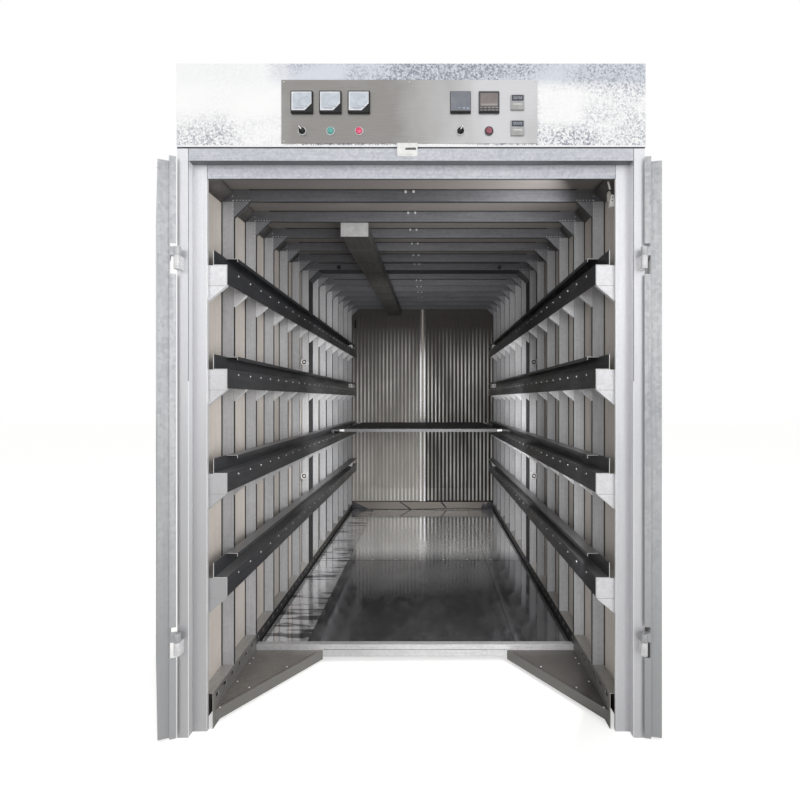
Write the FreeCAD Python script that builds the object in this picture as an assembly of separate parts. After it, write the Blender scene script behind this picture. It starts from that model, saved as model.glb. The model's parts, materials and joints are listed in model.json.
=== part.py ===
import FreeCAD, Part
import math
import os

# Walk-in curing chamber: an insulated cabin on folded steel ribs, with four levels of
# C rails on each long side, a carrier tray, double doors and a control header.
# X runs across the chamber, depth runs from the door frame's front face to the back, Z is up.
# The origin is on the ground in the middle of the footprint.

# Cabin
body_width = 1704.0
body_height = 2152.0
panel_thickness = 60.0
bay_pitch = 300.0
bay_count = 13
roof_rise = 140.0

# Door frame
post_width = 41.0
top_member_height = 49.0
frame_recess = 40.0
jamb_width = 53.0
head_height = 50.0
jamb_depth = 15.0

# Ribs
rib_depth = 50.0
rib_width = 20.0
haunch_size = 65.0
front_bay_count = 6
joint_width = 130.0
joint_seal = 2.0
panel_joint_gap = 4.0

# Sill channels and floor
sill_height = 135.0
sill_sheet = 3.0
slot_height = 14.0
slot_length = 26.0
slot_pitch = 86.0
slot_drop = 25.0
floor_start = 590.0
floor_top = 85.0
floor_thickness = 55.0
floor_seam = 1990.0
floor_seam_gap = 2.0
bearer_width = 60.0
bearer_inset = 112.0
nosing_sheet = 3.0
nosing_lip = 32.0
entry_plate_top = 62.0
entry_plate_sheet = 3.0
entry_plate_start = 70.0
entry_plate_reach = 312.0
entry_flange_drop = 43.0

# Rear wall lining
lining_sheet = 3.0
bead_pitch = 39.0
bead_width = 22.0
bead_crest = 10.0
bead_height = 6.0
bead_margin_low = 220.0
bead_margin_high = 60.0
lining_centre = 0.0
joint_strip_width = 20.0
joint_strip_gap = 20.0
joint_strip_depth = 14.0
trim_gap = 0.5
kick_height = 78.0
kick_depth = 16.0

# Shelf rails and brackets
rail_levels = 4
top_rail_drop = 417.0
rail_level_pitch = 390.0
rail_sheet = 3.0
rail_height = 58.0
rail_floor_width = 53.0
rail_roof_width = 48.0
rail_lip = 14.0
rail_apron = 70.0
rail_open_length = 132.0
bracket_height = 76.0
bracket_foot_angle = 40.0
bracket_thickness = 20.0

# Carrier tray
upper_level_count = 2
tray_side_gap = 66.0
tray_length = 1300.0
tray_rear_gap = 40.0
tray_tube = 24.0
tray_sheet = 3.0
roller_head_gap = 3.7
roller_width = 22.0
roller_side_gap = 8.0
axle_radius = 8.0
rolling_gap = 0.3

# Ceiling trunking
trunking_width = 128.0
trunking_height = 63.0
trunking_centre = -285.0
trunking_start = 600.0

# Header and control plate
header_overhang = 3.0
header_height = 305.0
header_length = 380.0
plate_width = 932.0
plate_top_margin = 61.0
plate_foot_margin = 13.0
plate_centre = -6.0
plate_sheet = 3.0

# Panel instruments, in columns and rows measured from the control plate's edges
meter_size = 80.0
meter_depth = 14.0
controller_width = 75.0
controller_height = 80.0
controller_depth = 9.0
counter_width = 49.0
counter_height = 55.0
counter_depth = 9.0
button_bezel = 32.0
button_bezel_depth = 6.0
button_cap = 24.0
button_cap_depth = 9.0
knob_width = 9.0
knob_depth = 20.0
column_pitch = 103.5
left_column_inset = 76.0
right_column_inset = 73.0
instrument_row_drop = 84.0
button_row_rise = 44.0
low_counter_rise = 54.0

# Doors and hinges
door_gap = 5.0
door_lap = 9.0
door_skin = 3.0
door_seal_gap = 7.0
door_foot_gap = 8.0
hinge_inset = 14.0
hinge_stand_off = 31.0
hinge_radius = 12.0
hinge_pin_radius = 5.0
hinge_pin_clearance = 0.05
hinge_pin_length = 26.0
hinge_seat_gap = 0.3
frame_knuckle_height = 47.0
leaf_knuckle_height = 32.0
hinge_foot = 315.0
hinge_drop = 401.0
strap_length = 100.0
strap_thickness = 4.0
frame_lug_width = 22.0
leaf_lug_length = 20.0
left_door_angle = 244.0
right_door_angle = 256.0
handle_height = 1050.0
handle_length = 300.0
handle_reach = 45.0
handle_bar = 16.0
handle_inset = 70.0

# Latch keeper, joint bolts and limit switch
keeper_gap = 6.0
keeper_rise = 8.0
keeper_width = 74.0
keeper_centre = -13.0
keeper_block_width = 30.0
keeper_depth = 18.0
keeper_slot_height = 18.0
keeper_wall = 6.0
bolt_cup_radius = 23.0
bolt_cup_length = 37.0
bolt_cup_bore = 15.0
bolt_cup_recess = 12.0
bolt_head_radius = 8.0
bolt_head_height = 9.0
bolt_wall_gap = 1.0
low_bolt_rise = 158.0
high_bolt_rise = 140.0
switch_distance = 80.0
switch_drop = 90.0
switch_body = 20.0
switch_body_height = 46.0
switch_head_radius = 12.0
switch_head_height = 10.0
switch_stem_radius = 5.0
switch_stem_height = 36.0

# Places worked out from the sizes above
half_width = body_width / 2
body_length = bay_count * bay_pitch + panel_thickness
wall_inner = half_width - panel_thickness
rib_inner = wall_inner - rib_depth
ceiling_front = body_height - panel_thickness
roof_slope = roof_rise / body_length
rear_face = bay_count * bay_pitch
frame_back = frame_recess + jamb_depth
post_inner = half_width - post_width
jamb_inner = post_inner - jamb_width
frame_top = body_height - top_member_height
floor_underside = floor_top - floor_thickness
bracket_inner = rib_inner - rail_floor_width + rail_sheet
joint_middle = front_bay_count * bay_pitch + (joint_width / 2 - rib_width) / 2
hinge_x = half_width - hinge_inset
hinge_heights = [hinge_foot, frame_top - hinge_drop]
plate_low = body_height + plate_foot_margin
plate_high = body_height + header_height - plate_top_margin
meter_column = plate_centre - plate_width / 2 + left_column_inset
counter_column = plate_centre + plate_width / 2 - right_column_inset
controller_column = counter_column - 2 * column_pitch
instrument_row = plate_high - instrument_row_drop
button_row = plate_low + button_row_rise
low_counter_row = plate_low + low_counter_rise


def ceiling(distance):
    """Height of the ceiling at a distance behind the door frame's front face."""
    return ceiling_front + roof_slope * distance


def rail_seat(level):
    """Height of the bracket tops of one rail level, counted from the top."""
    return body_height - top_rail_drop - (level - 1) * rail_level_pitch


def block(x0, x1, y0, y1, z0, z1):
    """Box between two values along each axis."""
    corner = FreeCAD.Vector(x0, y0, z0)
    return Part.makeBox(x1 - x0, y1 - y0, z1 - z0, corner)


def prism(points, direction):
    """Closed outline of corner points, carried along a straight direction."""
    corners = [FreeCAD.Vector(*point) for point in points]
    outline = Part.makePolygon(corners + corners[:1])
    return Part.Face(outline).extrude(FreeCAD.Vector(*direction))


def side_prism(points, x0, x1):
    """Outline of (depth, height) points, carried across the chamber."""
    return prism([(x0, y, z) for y, z in points], (x1 - x0, 0, 0))


def front_prism(points, y0, y1):
    """Outline of (x, height) points, carried along the chamber."""
    return prism([(x, y0, z) for x, z in points], (0, y1 - y0, 0))


def plan_prism(points, z0, z1):
    """Outline of (x, depth) points, carried upwards."""
    return prism([(x, y, z0) for x, y in points], (0, 0, z1 - z0))


def upright_cylinder(radius, x, y, z0, z1):
    """Round bar that stands at a point of the plan."""
    return Part.makeCylinder(radius, z1 - z0, FreeCAD.Vector(x, y, z0))


def forward_cylinder(radius, x, y_front, z, length):
    """Round piece whose axis runs along the chamber, from its front end."""
    return Part.makeCylinder(radius, length, FreeCAD.Vector(x, y_front, z), FreeCAD.Vector(0, 1, 0))


def other_side(shape):
    """Copy of a left-hand piece for the right-hand side."""
    return shape.mirror(FreeCAD.Vector(0, 0, 0), FreeCAD.Vector(1, 0, 0))


def joined(pieces):
    """One solid out of pieces that are welded or folded together."""
    whole = pieces[0].fuse(pieces[1:])
    return whole.removeSplitter()


def save(node, solids):
    """Write one node, moved so that the origin is in the middle of the footprint."""
    shape = solids[0] if len(solids) == 1 else Part.makeCompound(solids)
    shape.translate(FreeCAD.Vector(0, -body_length / 2, 0))
    shape.exportStep(os.path.join("parts", node + ".step"))


def rib_spans():
    """Front and back distance of every rib; the rib at the module joint is the wide one."""
    spans = []
    for bay in range(1, bay_count + 1):
        back = bay * bay_pitch
        if bay == front_bay_count:
            spans.append((joint_middle - joint_width / 2, joint_middle + joint_width / 2))
        else:
            spans.append((back - rib_width, back))
    return spans


def is_joint(span):
    """True for the wide rib where the two cabin modules meet."""
    return span[1] - span[0] > rib_width


def panel_lengths(start, joint, end, gap):
    """Two panel lengths that leave a joint gap between them."""
    return [(start, joint - gap / 2), (joint + gap / 2, end)]


def side_wall():
    """Insulated panels of the left long wall, one for each cabin module."""
    panels = []
    for start, end in panel_lengths(frame_back, joint_middle, rear_face, panel_joint_gap):
        outline = [(start, 0), (end, 0), (end, ceiling(end)), (start, ceiling(start))]
        panels.append(side_prism(outline, -half_width, -wall_inner))
    return panels


def roof():
    """Insulated roof panels that rise towards the back."""
    panels = []
    for start, end in panel_lengths(frame_back, joint_middle, body_length, panel_joint_gap):
        low = [(start, ceiling(start)), (end, ceiling(end))]
        high = [(end, ceiling(end) + panel_thickness), (start, ceiling(start) + panel_thickness)]
        panels.append(side_prism(low + high, -half_width, half_width))
    return panels


def rear_wall():
    """Insulated rear wall under the roof panel."""
    outline = [(rear_face, 0), (body_length, 0)]
    outline += [(body_length, ceiling(body_length)), (rear_face, ceiling(rear_face))]
    return side_prism(outline, -half_width, half_width)


def lining_height():
    """Top of the rear lining, under the last roof bow."""
    return ceiling(rear_face - rib_width) - rib_depth


def rear_lining_sheet(inner):
    """Left flat sheet with upright pressed beads, from the floor to the last bow and its gusset."""
    top = lining_height()
    front = rear_face - lining_sheet
    pieces = [block(-rib_inner, inner, front, rear_face, floor_top, top)]
    bead_limit = inner - joint_strip_width - bead_width / 2 - trim_gap
    middle = -rib_inner + bead_pitch / 2
    while middle < bead_limit:
        outline = [(middle - bead_width / 2, front), (middle - bead_crest / 2, front - bead_height)]
        outline += [(middle + bead_crest / 2, front - bead_height), (middle + bead_width / 2, front)]
        pieces.append(plan_prism(outline, floor_top + bead_margin_low, top - bead_margin_high))
        middle += bead_pitch
    return joined(pieces).cut(haunch(rib_spans()[-1]))


def rear_lining():
    """The two beaded sheets, apart at the gap between the joint strips."""
    split = joint_strip_gap / 2
    left = rear_lining_sheet(lining_centre - split)
    right = other_side(rear_lining_sheet(-lining_centre - split))
    return [left, right]


def rear_trims():
    """Two bright joint strips at the middle of the rear lining and a kick plate at its foot."""
    strips = []
    top = lining_height()
    back = rear_face - lining_sheet
    for side in (-1, 1):
        inner = lining_centre + side * joint_strip_gap / 2
        outer = inner + side * joint_strip_width
        low, high = min(inner, outer), max(inner, outer)
        foot = floor_top + kick_height + trim_gap
        strips.append(block(low, high, back - joint_strip_depth, back, foot, top))
    kick_front = back - kick_depth
    kick = block(-rib_inner, rib_inner, kick_front, back, floor_top, floor_top + kick_height)
    return strips + [kick]


def sill_channel():
    """Folded skirting on the left: an upright web with drain slots and a shelf for the ribs."""
    outline = [(-wall_inner, sill_height - sill_sheet), (-wall_inner, sill_height)]
    outline += [(-rib_inner, sill_height), (-rib_inner, 0)]
    outline += [(-rib_inner - sill_sheet, 0), (-rib_inner - sill_sheet, sill_height - sill_sheet)]
    channel = front_prism(outline, frame_back, rear_face)
    radius = slot_height / 2
    height = sill_height - slot_drop
    count = int((rear_face - frame_back) // slot_pitch)
    cutters = []
    for index in range(count):
        middle = frame_back + (index + 0.5) * slot_pitch
        ends = [middle - slot_length / 2 + radius, middle + slot_length / 2 - radius]
        for end in ends:
            foot = FreeCAD.Vector(-rib_inner - 2 * sill_sheet, end, height)
            cutters.append(Part.makeCylinder(radius, 3 * sill_sheet, foot, FreeCAD.Vector(1, 0, 0)))
        cutters.append(block(-rib_inner - 2 * sill_sheet, -rib_inner + sill_sheet,
                             ends[0], ends[1], height - radius, height + radius))
    return channel.cut(cutters)


def floor_panels():
    """Insulated floor in two lengths, between the sill channels."""
    panels = []
    for start, end in panel_lengths(floor_start, floor_seam, rear_face, floor_seam_gap):
        panels.append(block(-rib_inner, rib_inner, start, end, floor_underside, floor_top))
    return panels


def floor_bearers():
    """Three bars that carry the floor on the ground."""
    bars = []
    half = bearer_width / 2
    spread = rib_inner - bearer_inset - half
    for x in (-spread, 0, spread):
        bars.append(block(x - half, x + half, floor_start, rear_face, 0, floor_underside))
    return bars


def floor_nosing():
    """Folded sheet over the floor's front edge."""
    front = floor_start - nosing_sheet
    top = floor_top + nosing_sheet
    outline = [(front, floor_underside), (floor_start, floor_underside), (floor_start, floor_top)]
    outline += [(floor_start + nosing_lip, floor_top), (floor_start + nosing_lip, top), (front, top)]
    return side_prism(outline, -rib_inner, rib_inner)


def entry_plate():
    """Triangular tread plate at the left of the entrance, with a turned-down slanting edge."""
    back = floor_start - nosing_sheet
    corners = [(-rib_inner, entry_plate_start), (-rib_inner, back)]
    corners += [(-rib_inner + entry_plate_reach, back)]
    plate = plan_prism(corners, entry_plate_top - entry_plate_sheet, entry_plate_top)
    slant = math.hypot(entry_plate_reach, back - entry_plate_start)
    across = entry_plate_sheet * slant / (back - entry_plate_start)
    along = entry_plate_sheet * slant / entry_plate_reach
    edge = [corners[0], corners[2], (corners[2][0] - across, back), (-rib_inner, entry_plate_start + along)]
    flange = plan_prism(edge, entry_plate_top - entry_flange_drop, entry_plate_top)
    return joined([plate, flange])


def upright(span):
    """Closed box-section rib on the left wall, cut to the ceiling's slope."""
    start, end = span
    inner = rib_inner + joint_seal if is_joint(span) else rib_inner
    outline = [(start, sill_height), (end, sill_height)]
    outline += [(end, ceiling(end) - rib_depth), (start, ceiling(start) - rib_depth)]
    return side_prism(outline, -wall_inner, -inner)


def under_ceiling(start, end, drop_high, drop_low, x0, x1):
    """Bar across the chamber between two drops below the sloping ceiling."""
    low = [(start, ceiling(start) - drop_low), (end, ceiling(end) - drop_low)]
    high = [(end, ceiling(end) - drop_high), (start, ceiling(start) - drop_high)]
    return side_prism(low + high, x0, x1)


def roof_bow(span):
    """Closed box-section rib across the ceiling."""
    start, end = span
    drop = rib_depth - joint_seal if is_joint(span) else rib_depth
    return under_ceiling(start, end, 0, drop, -wall_inner, wall_inner)


def haunch(span):
    """Corner gusset between the left upright and the roof bow."""
    start, end = span
    top = ceiling(start) - rib_depth
    inner = -rib_inner
    outline = [(inner, top), (inner + haunch_size, top), (inner, top - haunch_size)]
    return front_prism(outline, start, end)


def module_seal(span):
    """Dark sealing strips over the wide rib: left, right and across the ceiling."""
    start, end = span
    foot = ceiling(start) - rib_depth - haunch_size
    left = block(-rib_inner - joint_seal, -rib_inner, start, end, sill_height, foot)
    reach = rib_inner - haunch_size
    across = under_ceiling(start, end, rib_depth - joint_seal, rib_depth, -reach, reach)
    return [left, other_side(left), across]


def frame_posts():
    """Outer posts of the door frame."""
    left = block(-half_width, -post_inner, 0, frame_recess, 0, body_height)
    return [left, other_side(left)]


def door_jambs():
    """Recessed faces that the closed doors meet, left and right."""
    left = block(-half_width, -jamb_inner, frame_recess, frame_back, 0, body_height)
    return [left, other_side(left)]


def frame_top_member():
    """Outer member across the top of the door frame, between the posts."""
    return block(-post_inner, post_inner, 0, frame_recess, frame_top, body_height)


def frame_head():
    """Recessed face across the top of the doorway, between the jambs."""
    low = frame_top - head_height
    return block(-jamb_inner, jamb_inner, frame_recess, frame_back, low, body_height)


def shelf_rail(level):
    """Left rail of one level: a C for the tray rollers with an apron over the bracket ends."""
    seat = rail_seat(level)
    back = -rib_inner
    lip_x = back + rail_roof_width
    edge = back + rail_floor_width
    top = seat + rail_height
    t = rail_sheet
    outline = [(back, seat), (back, top), (lip_x, top), (lip_x, top - rail_lip)]
    outline += [(lip_x - t, top - rail_lip), (lip_x - t, top - t), (back + t, top - t), (back + t, seat + t)]
    outline += [(edge, seat + t), (edge, seat - rail_apron), (edge - t, seat - rail_apron), (edge - t, seat)]
    rail = front_prism(outline, frame_back, rear_face - rib_width)
    mouth = block(back + t, lip_x + t, frame_back, frame_back + rail_open_length, seat + t, top + t)
    return rail.cut(mouth)


def bracket(level, span):
    """Folded bracket under the left rail of one level, with a slanting foot."""
    seat = rail_seat(level)
    start = span[0]
    outer = -wall_inner if start < bay_pitch - rib_width else -rib_inner
    inner = -bracket_inner
    knee = seat - bracket_height
    foot = knee - (inner - outer) * math.tan(math.radians(bracket_foot_angle))
    outline = [(outer, seat), (inner, seat), (inner, knee), (outer, foot)]
    return front_prism(outline, start, start + bracket_thickness)


def side_brackets():
    """Every left bracket: one behind the jamb and one at each rib but the last."""
    spans = [(frame_back, frame_back + bracket_thickness)] + rib_spans()[:-1]
    return [bracket(level, span) for level in range(1, rail_levels + 1) for span in spans]


def ceiling_trunking():
    """Closed trunking hung under the roof bows, parallel to the ceiling."""
    end = rear_face - lining_sheet - bead_height
    drop = rib_depth + trunking_height
    half = trunking_width / 2
    return under_ceiling(trunking_start, end, rib_depth, drop, trunking_centre - half, trunking_centre + half)


def header_box():
    """Sheet housing over the doorway, on the frame and the roof panel."""
    seat = [(0, body_height), (header_length, ceiling(header_length) + panel_thickness)]
    top = body_height + header_height
    half = half_width + header_overhang
    return side_prism(seat + [(header_length, top), (0, top)], -half, half)


def control_plate():
    """Brushed plate on the header's front."""
    half = plate_width / 2
    return block(plate_centre - half, plate_centre + half, -plate_sheet, 0, plate_low, plate_high)


def on_plate(x, z, width, height, depth):
    """Square-bodied instrument that stands out of the control plate."""
    half_width_x = width / 2
    half_height = height / 2
    front = -plate_sheet - depth
    return block(x - half_width_x, x + half_width_x, front, -plate_sheet, z - half_height, z + half_height)


def ammeters():
    """Three square dial meters."""
    columns = [meter_column + index * column_pitch for index in range(3)]
    return [on_plate(x, instrument_row, meter_size, meter_size, meter_depth) for x in columns]


def temperature_controllers():
    """Two square controllers."""
    columns = [controller_column + index * column_pitch for index in range(2)]
    size = (controller_width, controller_height, controller_depth)
    return [on_plate(x, instrument_row, *size) for x in columns]


def counters():
    """Two small counters, one above the other."""
    size = (counter_width, counter_height, counter_depth)
    return [on_plate(counter_column, z, *size) for z in (instrument_row, low_counter_row)]


def bezel(x):
    """Round collar of a switch in the lower row."""
    front = -plate_sheet - button_bezel_depth
    return forward_cylinder(button_bezel / 2, x, front, button_row, button_bezel_depth)


def selector_switches():
    """Two turn switches: a collar with a bar-shaped knob."""
    switches = []
    for x in (meter_column, controller_column):
        front = -plate_sheet - button_bezel_depth - knob_depth
        half_bar = knob_width / 2
        reach = button_cap / 2
        bar = block(x - half_bar, x + half_bar, front, -plate_sheet, button_row - reach, button_row + reach)
        switches.append(joined([bezel(x), bar]))
    return switches


def push_buttons():
    """Start button, stop button and signal lamp: a collar with a round cap."""
    buttons = []
    for x in (meter_column + column_pitch, meter_column + 2 * column_pitch, controller_column + column_pitch):
        front = -plate_sheet - button_bezel_depth - button_cap_depth
        cap = forward_cylinder(button_cap / 2, x, front, button_row, -plate_sheet - front)
        buttons.append(joined([bezel(x), cap]))
    return buttons


def latch_keeper():
    """Keeper above the meeting edges of the doors: a block beside a slotted loop."""
    low = frame_top + door_lap + keeper_gap
    high = body_height + keeper_rise
    left = keeper_centre - keeper_width / 2
    right = keeper_centre + keeper_width / 2
    split = left + keeper_block_width
    whole = block(left, right, -keeper_depth, 0, low, high)
    middle = (low + high) / 2
    half = keeper_slot_height / 2
    slot = block(split, right - keeper_wall, -keeper_depth + keeper_wall, 0, middle - half, middle + half)
    mouth = block(split, right - keeper_wall, -keeper_depth, 0, middle - half / 2, middle + half / 2)
    return whole.cut([slot, mouth])


def frame_knuckle(height):
    """Fixed lower half of a lift-off hinge on the left post, with its pin."""
    top = height + frame_knuckle_height
    barrel = upright_cylinder(hinge_radius, -hinge_x, -hinge_stand_off, height, top)
    half = frame_lug_width / 2
    lug = block(-hinge_x - half, -hinge_x + half, -hinge_stand_off, 0, height, top)
    pin = upright_cylinder(hinge_pin_radius, -hinge_x, -hinge_stand_off, height, top + hinge_pin_length)
    return joined([barrel, lug, pin])


def frame_hinges():
    """The four fixed hinge halves."""
    left = [frame_knuckle(height) for height in hinge_heights]
    return left + [other_side(knuckle) for knuckle in left]


def leaf_knuckle(height):
    """Upper half of a hinge with the strap that carries the left leaf, in the closed position."""
    low = height + frame_knuckle_height + hinge_seat_gap
    high = low + leaf_knuckle_height
    face = -door_gap - door_skin
    barrel = upright_cylinder(hinge_radius, -hinge_x, -hinge_stand_off, low, high)
    lug = block(-hinge_x, -hinge_x + leaf_lug_length, -hinge_stand_off, face, low, high)
    strap = block(-hinge_x, -hinge_x + strap_length, face - strap_thickness, face, low, high)
    bore = upright_cylinder(hinge_pin_radius + hinge_pin_clearance, -hinge_x, -hinge_stand_off, low, high)
    return joined([barrel, lug, strap]).cut(bore)


def door_leaf():
    """Left leaf in the closed position: a lapping skin, an insulated core and its hinge straps."""
    top = frame_top + door_lap
    skin = block(-post_inner - door_lap, -door_gap / 2, -door_gap - door_skin, -door_gap, door_foot_gap, top)
    core = block(-post_inner + door_gap, -door_gap / 2, -door_gap, frame_recess - door_seal_gap,
                 door_foot_gap, frame_top - door_gap)
    straps = [leaf_knuckle(height) for height in hinge_heights]
    return joined([skin, core] + straps)


def door_handle():
    """Left pull handle in the closed position: a bar on two posts on the leaf's outer skin."""
    face = -door_gap - door_skin
    x0 = -handle_inset - handle_bar / 2
    x1 = x0 + handle_bar
    low = handle_height - handle_length / 2
    high = handle_height + handle_length / 2
    outline = [(face, low), (face, low + handle_bar), (face - handle_reach + handle_bar, low + handle_bar)]
    outline += [(face - handle_reach + handle_bar, high - handle_bar), (face, high - handle_bar)]
    outline += [(face, high), (face - handle_reach, high), (face - handle_reach, low)]
    return side_prism(outline, x0, x1)


def opened(shape, angle):
    """Left door piece swung from closed to its resting angle about the hinge axis."""
    centre = FreeCAD.Vector(-hinge_x, -hinge_stand_off, 0)
    turned = shape.copy()
    turned.rotate(centre, FreeCAD.Vector(0, 0, 1), -angle)
    return turned


def joint_bolts():
    """Bolts that hold the cabin modules together: a deep cup on the wide rib, with a bolt head in it."""
    x = -wall_inner + bolt_wall_gap + bolt_cup_radius
    front = joint_middle - joint_width / 2 - bolt_cup_length
    seat = front + bolt_cup_recess
    cups = []
    for z in (rail_seat(rail_levels) + low_bolt_rise, rail_seat(upper_level_count) + high_bolt_rise):
        cup = forward_cylinder(bolt_cup_radius, x, front, z, bolt_cup_length)
        recess = forward_cylinder(bolt_cup_bore, x, front, z, bolt_cup_recess)
        head = forward_cylinder(bolt_head_radius, x, seat - bolt_head_height, z, bolt_head_height)
        cups.append(joined([cup.cut(recess), head]))
    return cups + [other_side(cup) for cup in cups]


def limit_switch():
    """Door switch behind the upper right corner: a body with a head and a stem, on the wall."""
    x0 = jamb_inner - switch_body / 2
    middle = x0 + switch_body / 2
    y = switch_distance + switch_body / 2
    low = frame_top - head_height - switch_drop
    top = low + switch_body_height
    body = block(x0, x0 + switch_body, switch_distance, switch_distance + switch_body, low, top)
    arm = block(x0, wall_inner, switch_distance, switch_distance + switch_body, low, low + switch_body)
    head = upright_cylinder(switch_head_radius, middle, y, top, top + switch_head_height)
    stem_top = top + switch_head_height + switch_stem_height
    stem = upright_cylinder(switch_stem_radius, middle, y, top, stem_top)
    return joined([body, arm, head, stem])


def tray_span():
    """Front and back distance of the carrier tray at rest."""
    end = rear_face - tray_rear_gap
    return end - tray_length, end


def roller_radius():
    """Radius of a tray roller that runs inside the C rail."""
    return (rail_height - 2 * rail_sheet - rolling_gap - roller_head_gap) / 2


def axle_height():
    """Height of the tray axles, with the rollers on the rail floor."""
    return rail_seat(upper_level_count + 1) + rail_sheet + rolling_gap + roller_radius()


def tray_frame():
    """Tube frame of the carrier tray; its end tubes carry the stub axles and their rollers."""
    start, end = tray_span()
    low = axle_height() - tray_tube / 2
    high = axle_height() + tray_tube / 2
    half = rib_inner - rail_floor_width - tray_side_gap
    outer = block(-half, half, start, end, low, high)
    inner = block(-half + tray_tube, half - tray_tube, start + tray_tube, end - tray_tube, low, high)
    pieces = [outer.cut(inner)]
    roller_outer = rib_inner - rail_sheet - roller_side_gap
    for y in (start + tray_tube / 2, end - tray_tube / 2):
        foot = FreeCAD.Vector(-roller_outer, y, axle_height())
        across = FreeCAD.Vector(1, 0, 0)
        pieces.append(Part.makeCylinder(axle_radius, 2 * roller_outer, foot, across))
        for x in (-roller_outer, roller_outer - roller_width):
            rim = FreeCAD.Vector(x, y, axle_height())
            pieces.append(Part.makeCylinder(roller_radius(), roller_width, rim, across))
    return joined(pieces)


def tray_plate():
    """Flat sheet that lies on the tray frame."""
    start, end = tray_span()
    high = axle_height() + tray_tube / 2
    half = rib_inner - rail_floor_width - tray_side_gap
    return block(-half, half, start, end, high, high + tray_sheet)


os.makedirs("parts", exist_ok=True)

save("left_wall", side_wall())
save("right_wall", [other_side(panel) for panel in side_wall()])
save("roof", roof())
save("rear_wall", [rear_wall()])
save("rear_lining", rear_lining())
save("rear_trims", rear_trims())
save("sill_channels", [sill_channel(), other_side(sill_channel())])
save("floor_panels", floor_panels())
save("floor_bearers", floor_bearers())
save("floor_nosing", [floor_nosing()])
save("entry_plates", [entry_plate(), other_side(entry_plate())])

ribs = rib_spans()
save("left_uprights", [upright(span) for span in ribs])
save("right_uprights", [other_side(upright(span)) for span in ribs])
save("roof_bows", [roof_bow(span) for span in ribs])
left_haunches = [haunch(span) for span in ribs]
save("corner_haunches", left_haunches + [other_side(piece) for piece in left_haunches])
save("module_seal", module_seal(ribs[front_bay_count - 1]))

save("frame_posts", frame_posts())
save("door_jambs", door_jambs())
save("frame_top_member", [frame_top_member()])
save("frame_head", [frame_head()])

for rail_level in range(1, rail_levels + 1):
    save("left_rail_%d" % rail_level, [shelf_rail(rail_level)])
    save("right_rail_%d" % rail_level, [other_side(shelf_rail(rail_level))])
save("left_brackets", side_brackets())
save("right_brackets", [other_side(piece) for piece in side_brackets()])

save("ceiling_trunking", [ceiling_trunking()])
save("header_box", [header_box()])
save("control_plate", [control_plate()])
save("ammeters", ammeters())
save("temperature_controllers", temperature_controllers())
save("counters", counters())
save("selector_switches", selector_switches())
save("push_buttons", push_buttons())

save("latch_keeper", [latch_keeper()])
save("frame_hinges", frame_hinges())
save("joint_bolts", joint_bolts())
save("limit_switch", [limit_switch()])

save("left_door", [opened(door_leaf(), left_door_angle)])
save("left_door_handle", [opened(door_handle(), left_door_angle)])
save("right_door", [other_side(opened(door_leaf(), right_door_angle))])
save("right_door_handle", [other_side(opened(door_handle(), right_door_angle))])

save("tray_frame", [tray_frame()])
save("tray_plate", [tray_plate()])
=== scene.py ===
# %% [markdown]
# A walk-in curing chamber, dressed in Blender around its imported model.
# The real object is an insulated cabin on folded steel ribs. Four levels of C rails run along
# each long side, a carrier tray rolls on one of them, and a sheet housing with dials, controllers
# and switches sits over the doorway.
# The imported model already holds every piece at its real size, so this file adds finishes to those
# pieces and makes what is too fine for them: screws, rivets, dials, keys and folded edges.

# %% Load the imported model
import json
import math
from typing import NamedTuple

import bmesh
import bpy
import numpy as np
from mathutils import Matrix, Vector


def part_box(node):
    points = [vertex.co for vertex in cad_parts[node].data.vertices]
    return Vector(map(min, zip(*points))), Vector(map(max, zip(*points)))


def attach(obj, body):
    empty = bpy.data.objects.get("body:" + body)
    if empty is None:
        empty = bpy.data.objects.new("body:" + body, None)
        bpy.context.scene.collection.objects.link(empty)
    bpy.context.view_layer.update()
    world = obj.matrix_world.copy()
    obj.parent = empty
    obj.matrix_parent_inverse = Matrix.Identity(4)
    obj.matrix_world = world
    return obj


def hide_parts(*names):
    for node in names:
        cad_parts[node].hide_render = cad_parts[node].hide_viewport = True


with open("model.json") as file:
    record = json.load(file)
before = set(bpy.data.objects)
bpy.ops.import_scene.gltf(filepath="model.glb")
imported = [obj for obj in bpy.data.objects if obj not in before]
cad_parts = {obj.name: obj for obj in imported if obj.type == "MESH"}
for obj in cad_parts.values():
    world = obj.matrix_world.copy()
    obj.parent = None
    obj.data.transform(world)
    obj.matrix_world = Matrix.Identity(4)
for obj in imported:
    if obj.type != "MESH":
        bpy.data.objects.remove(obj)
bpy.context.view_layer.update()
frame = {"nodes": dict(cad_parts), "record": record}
nodes = frame["nodes"]

# %% [markdown]
# Sizes are in metres here, and the workshop thinks in millimetres, so one factor turns one into
# the other. Along the cabin, places are easiest to say as a distance behind the door frame's
# front face. The frame posts give that face, and every other place is read from the piece that
# carries the detail, so a detail stays on its carrier.

# %% Places read from the frame
MM = 0.001


def corners_of(node):
    """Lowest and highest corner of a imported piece, as arrays in metres."""
    low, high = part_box(node)
    return np.array(low), np.array(high)


frame_low, frame_high = corners_of("frame_posts")
rear_high = corners_of("rear_wall")[1]
upright_low, upright_high = corners_of("left_uprights")
front_y = frame_low[1]
cabin_length = rear_high[1] - front_y
wall_inner = -upright_low[0]
wall_outer = rear_high[0]
rib_inner = -upright_high[0]
header_foot = frame_high[2]
roof_rise = 140 * MM
ceiling_front = header_foot - 60 * MM
bay_pitch = 300 * MM
rib_width = 20 * MM
bow_depth = 50 * MM
joint_bay = 6
rib_count = 13


def depth(distance):
    """Y of a distance, in millimetres, behind the door frame's front face."""
    return front_y + distance * MM


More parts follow.
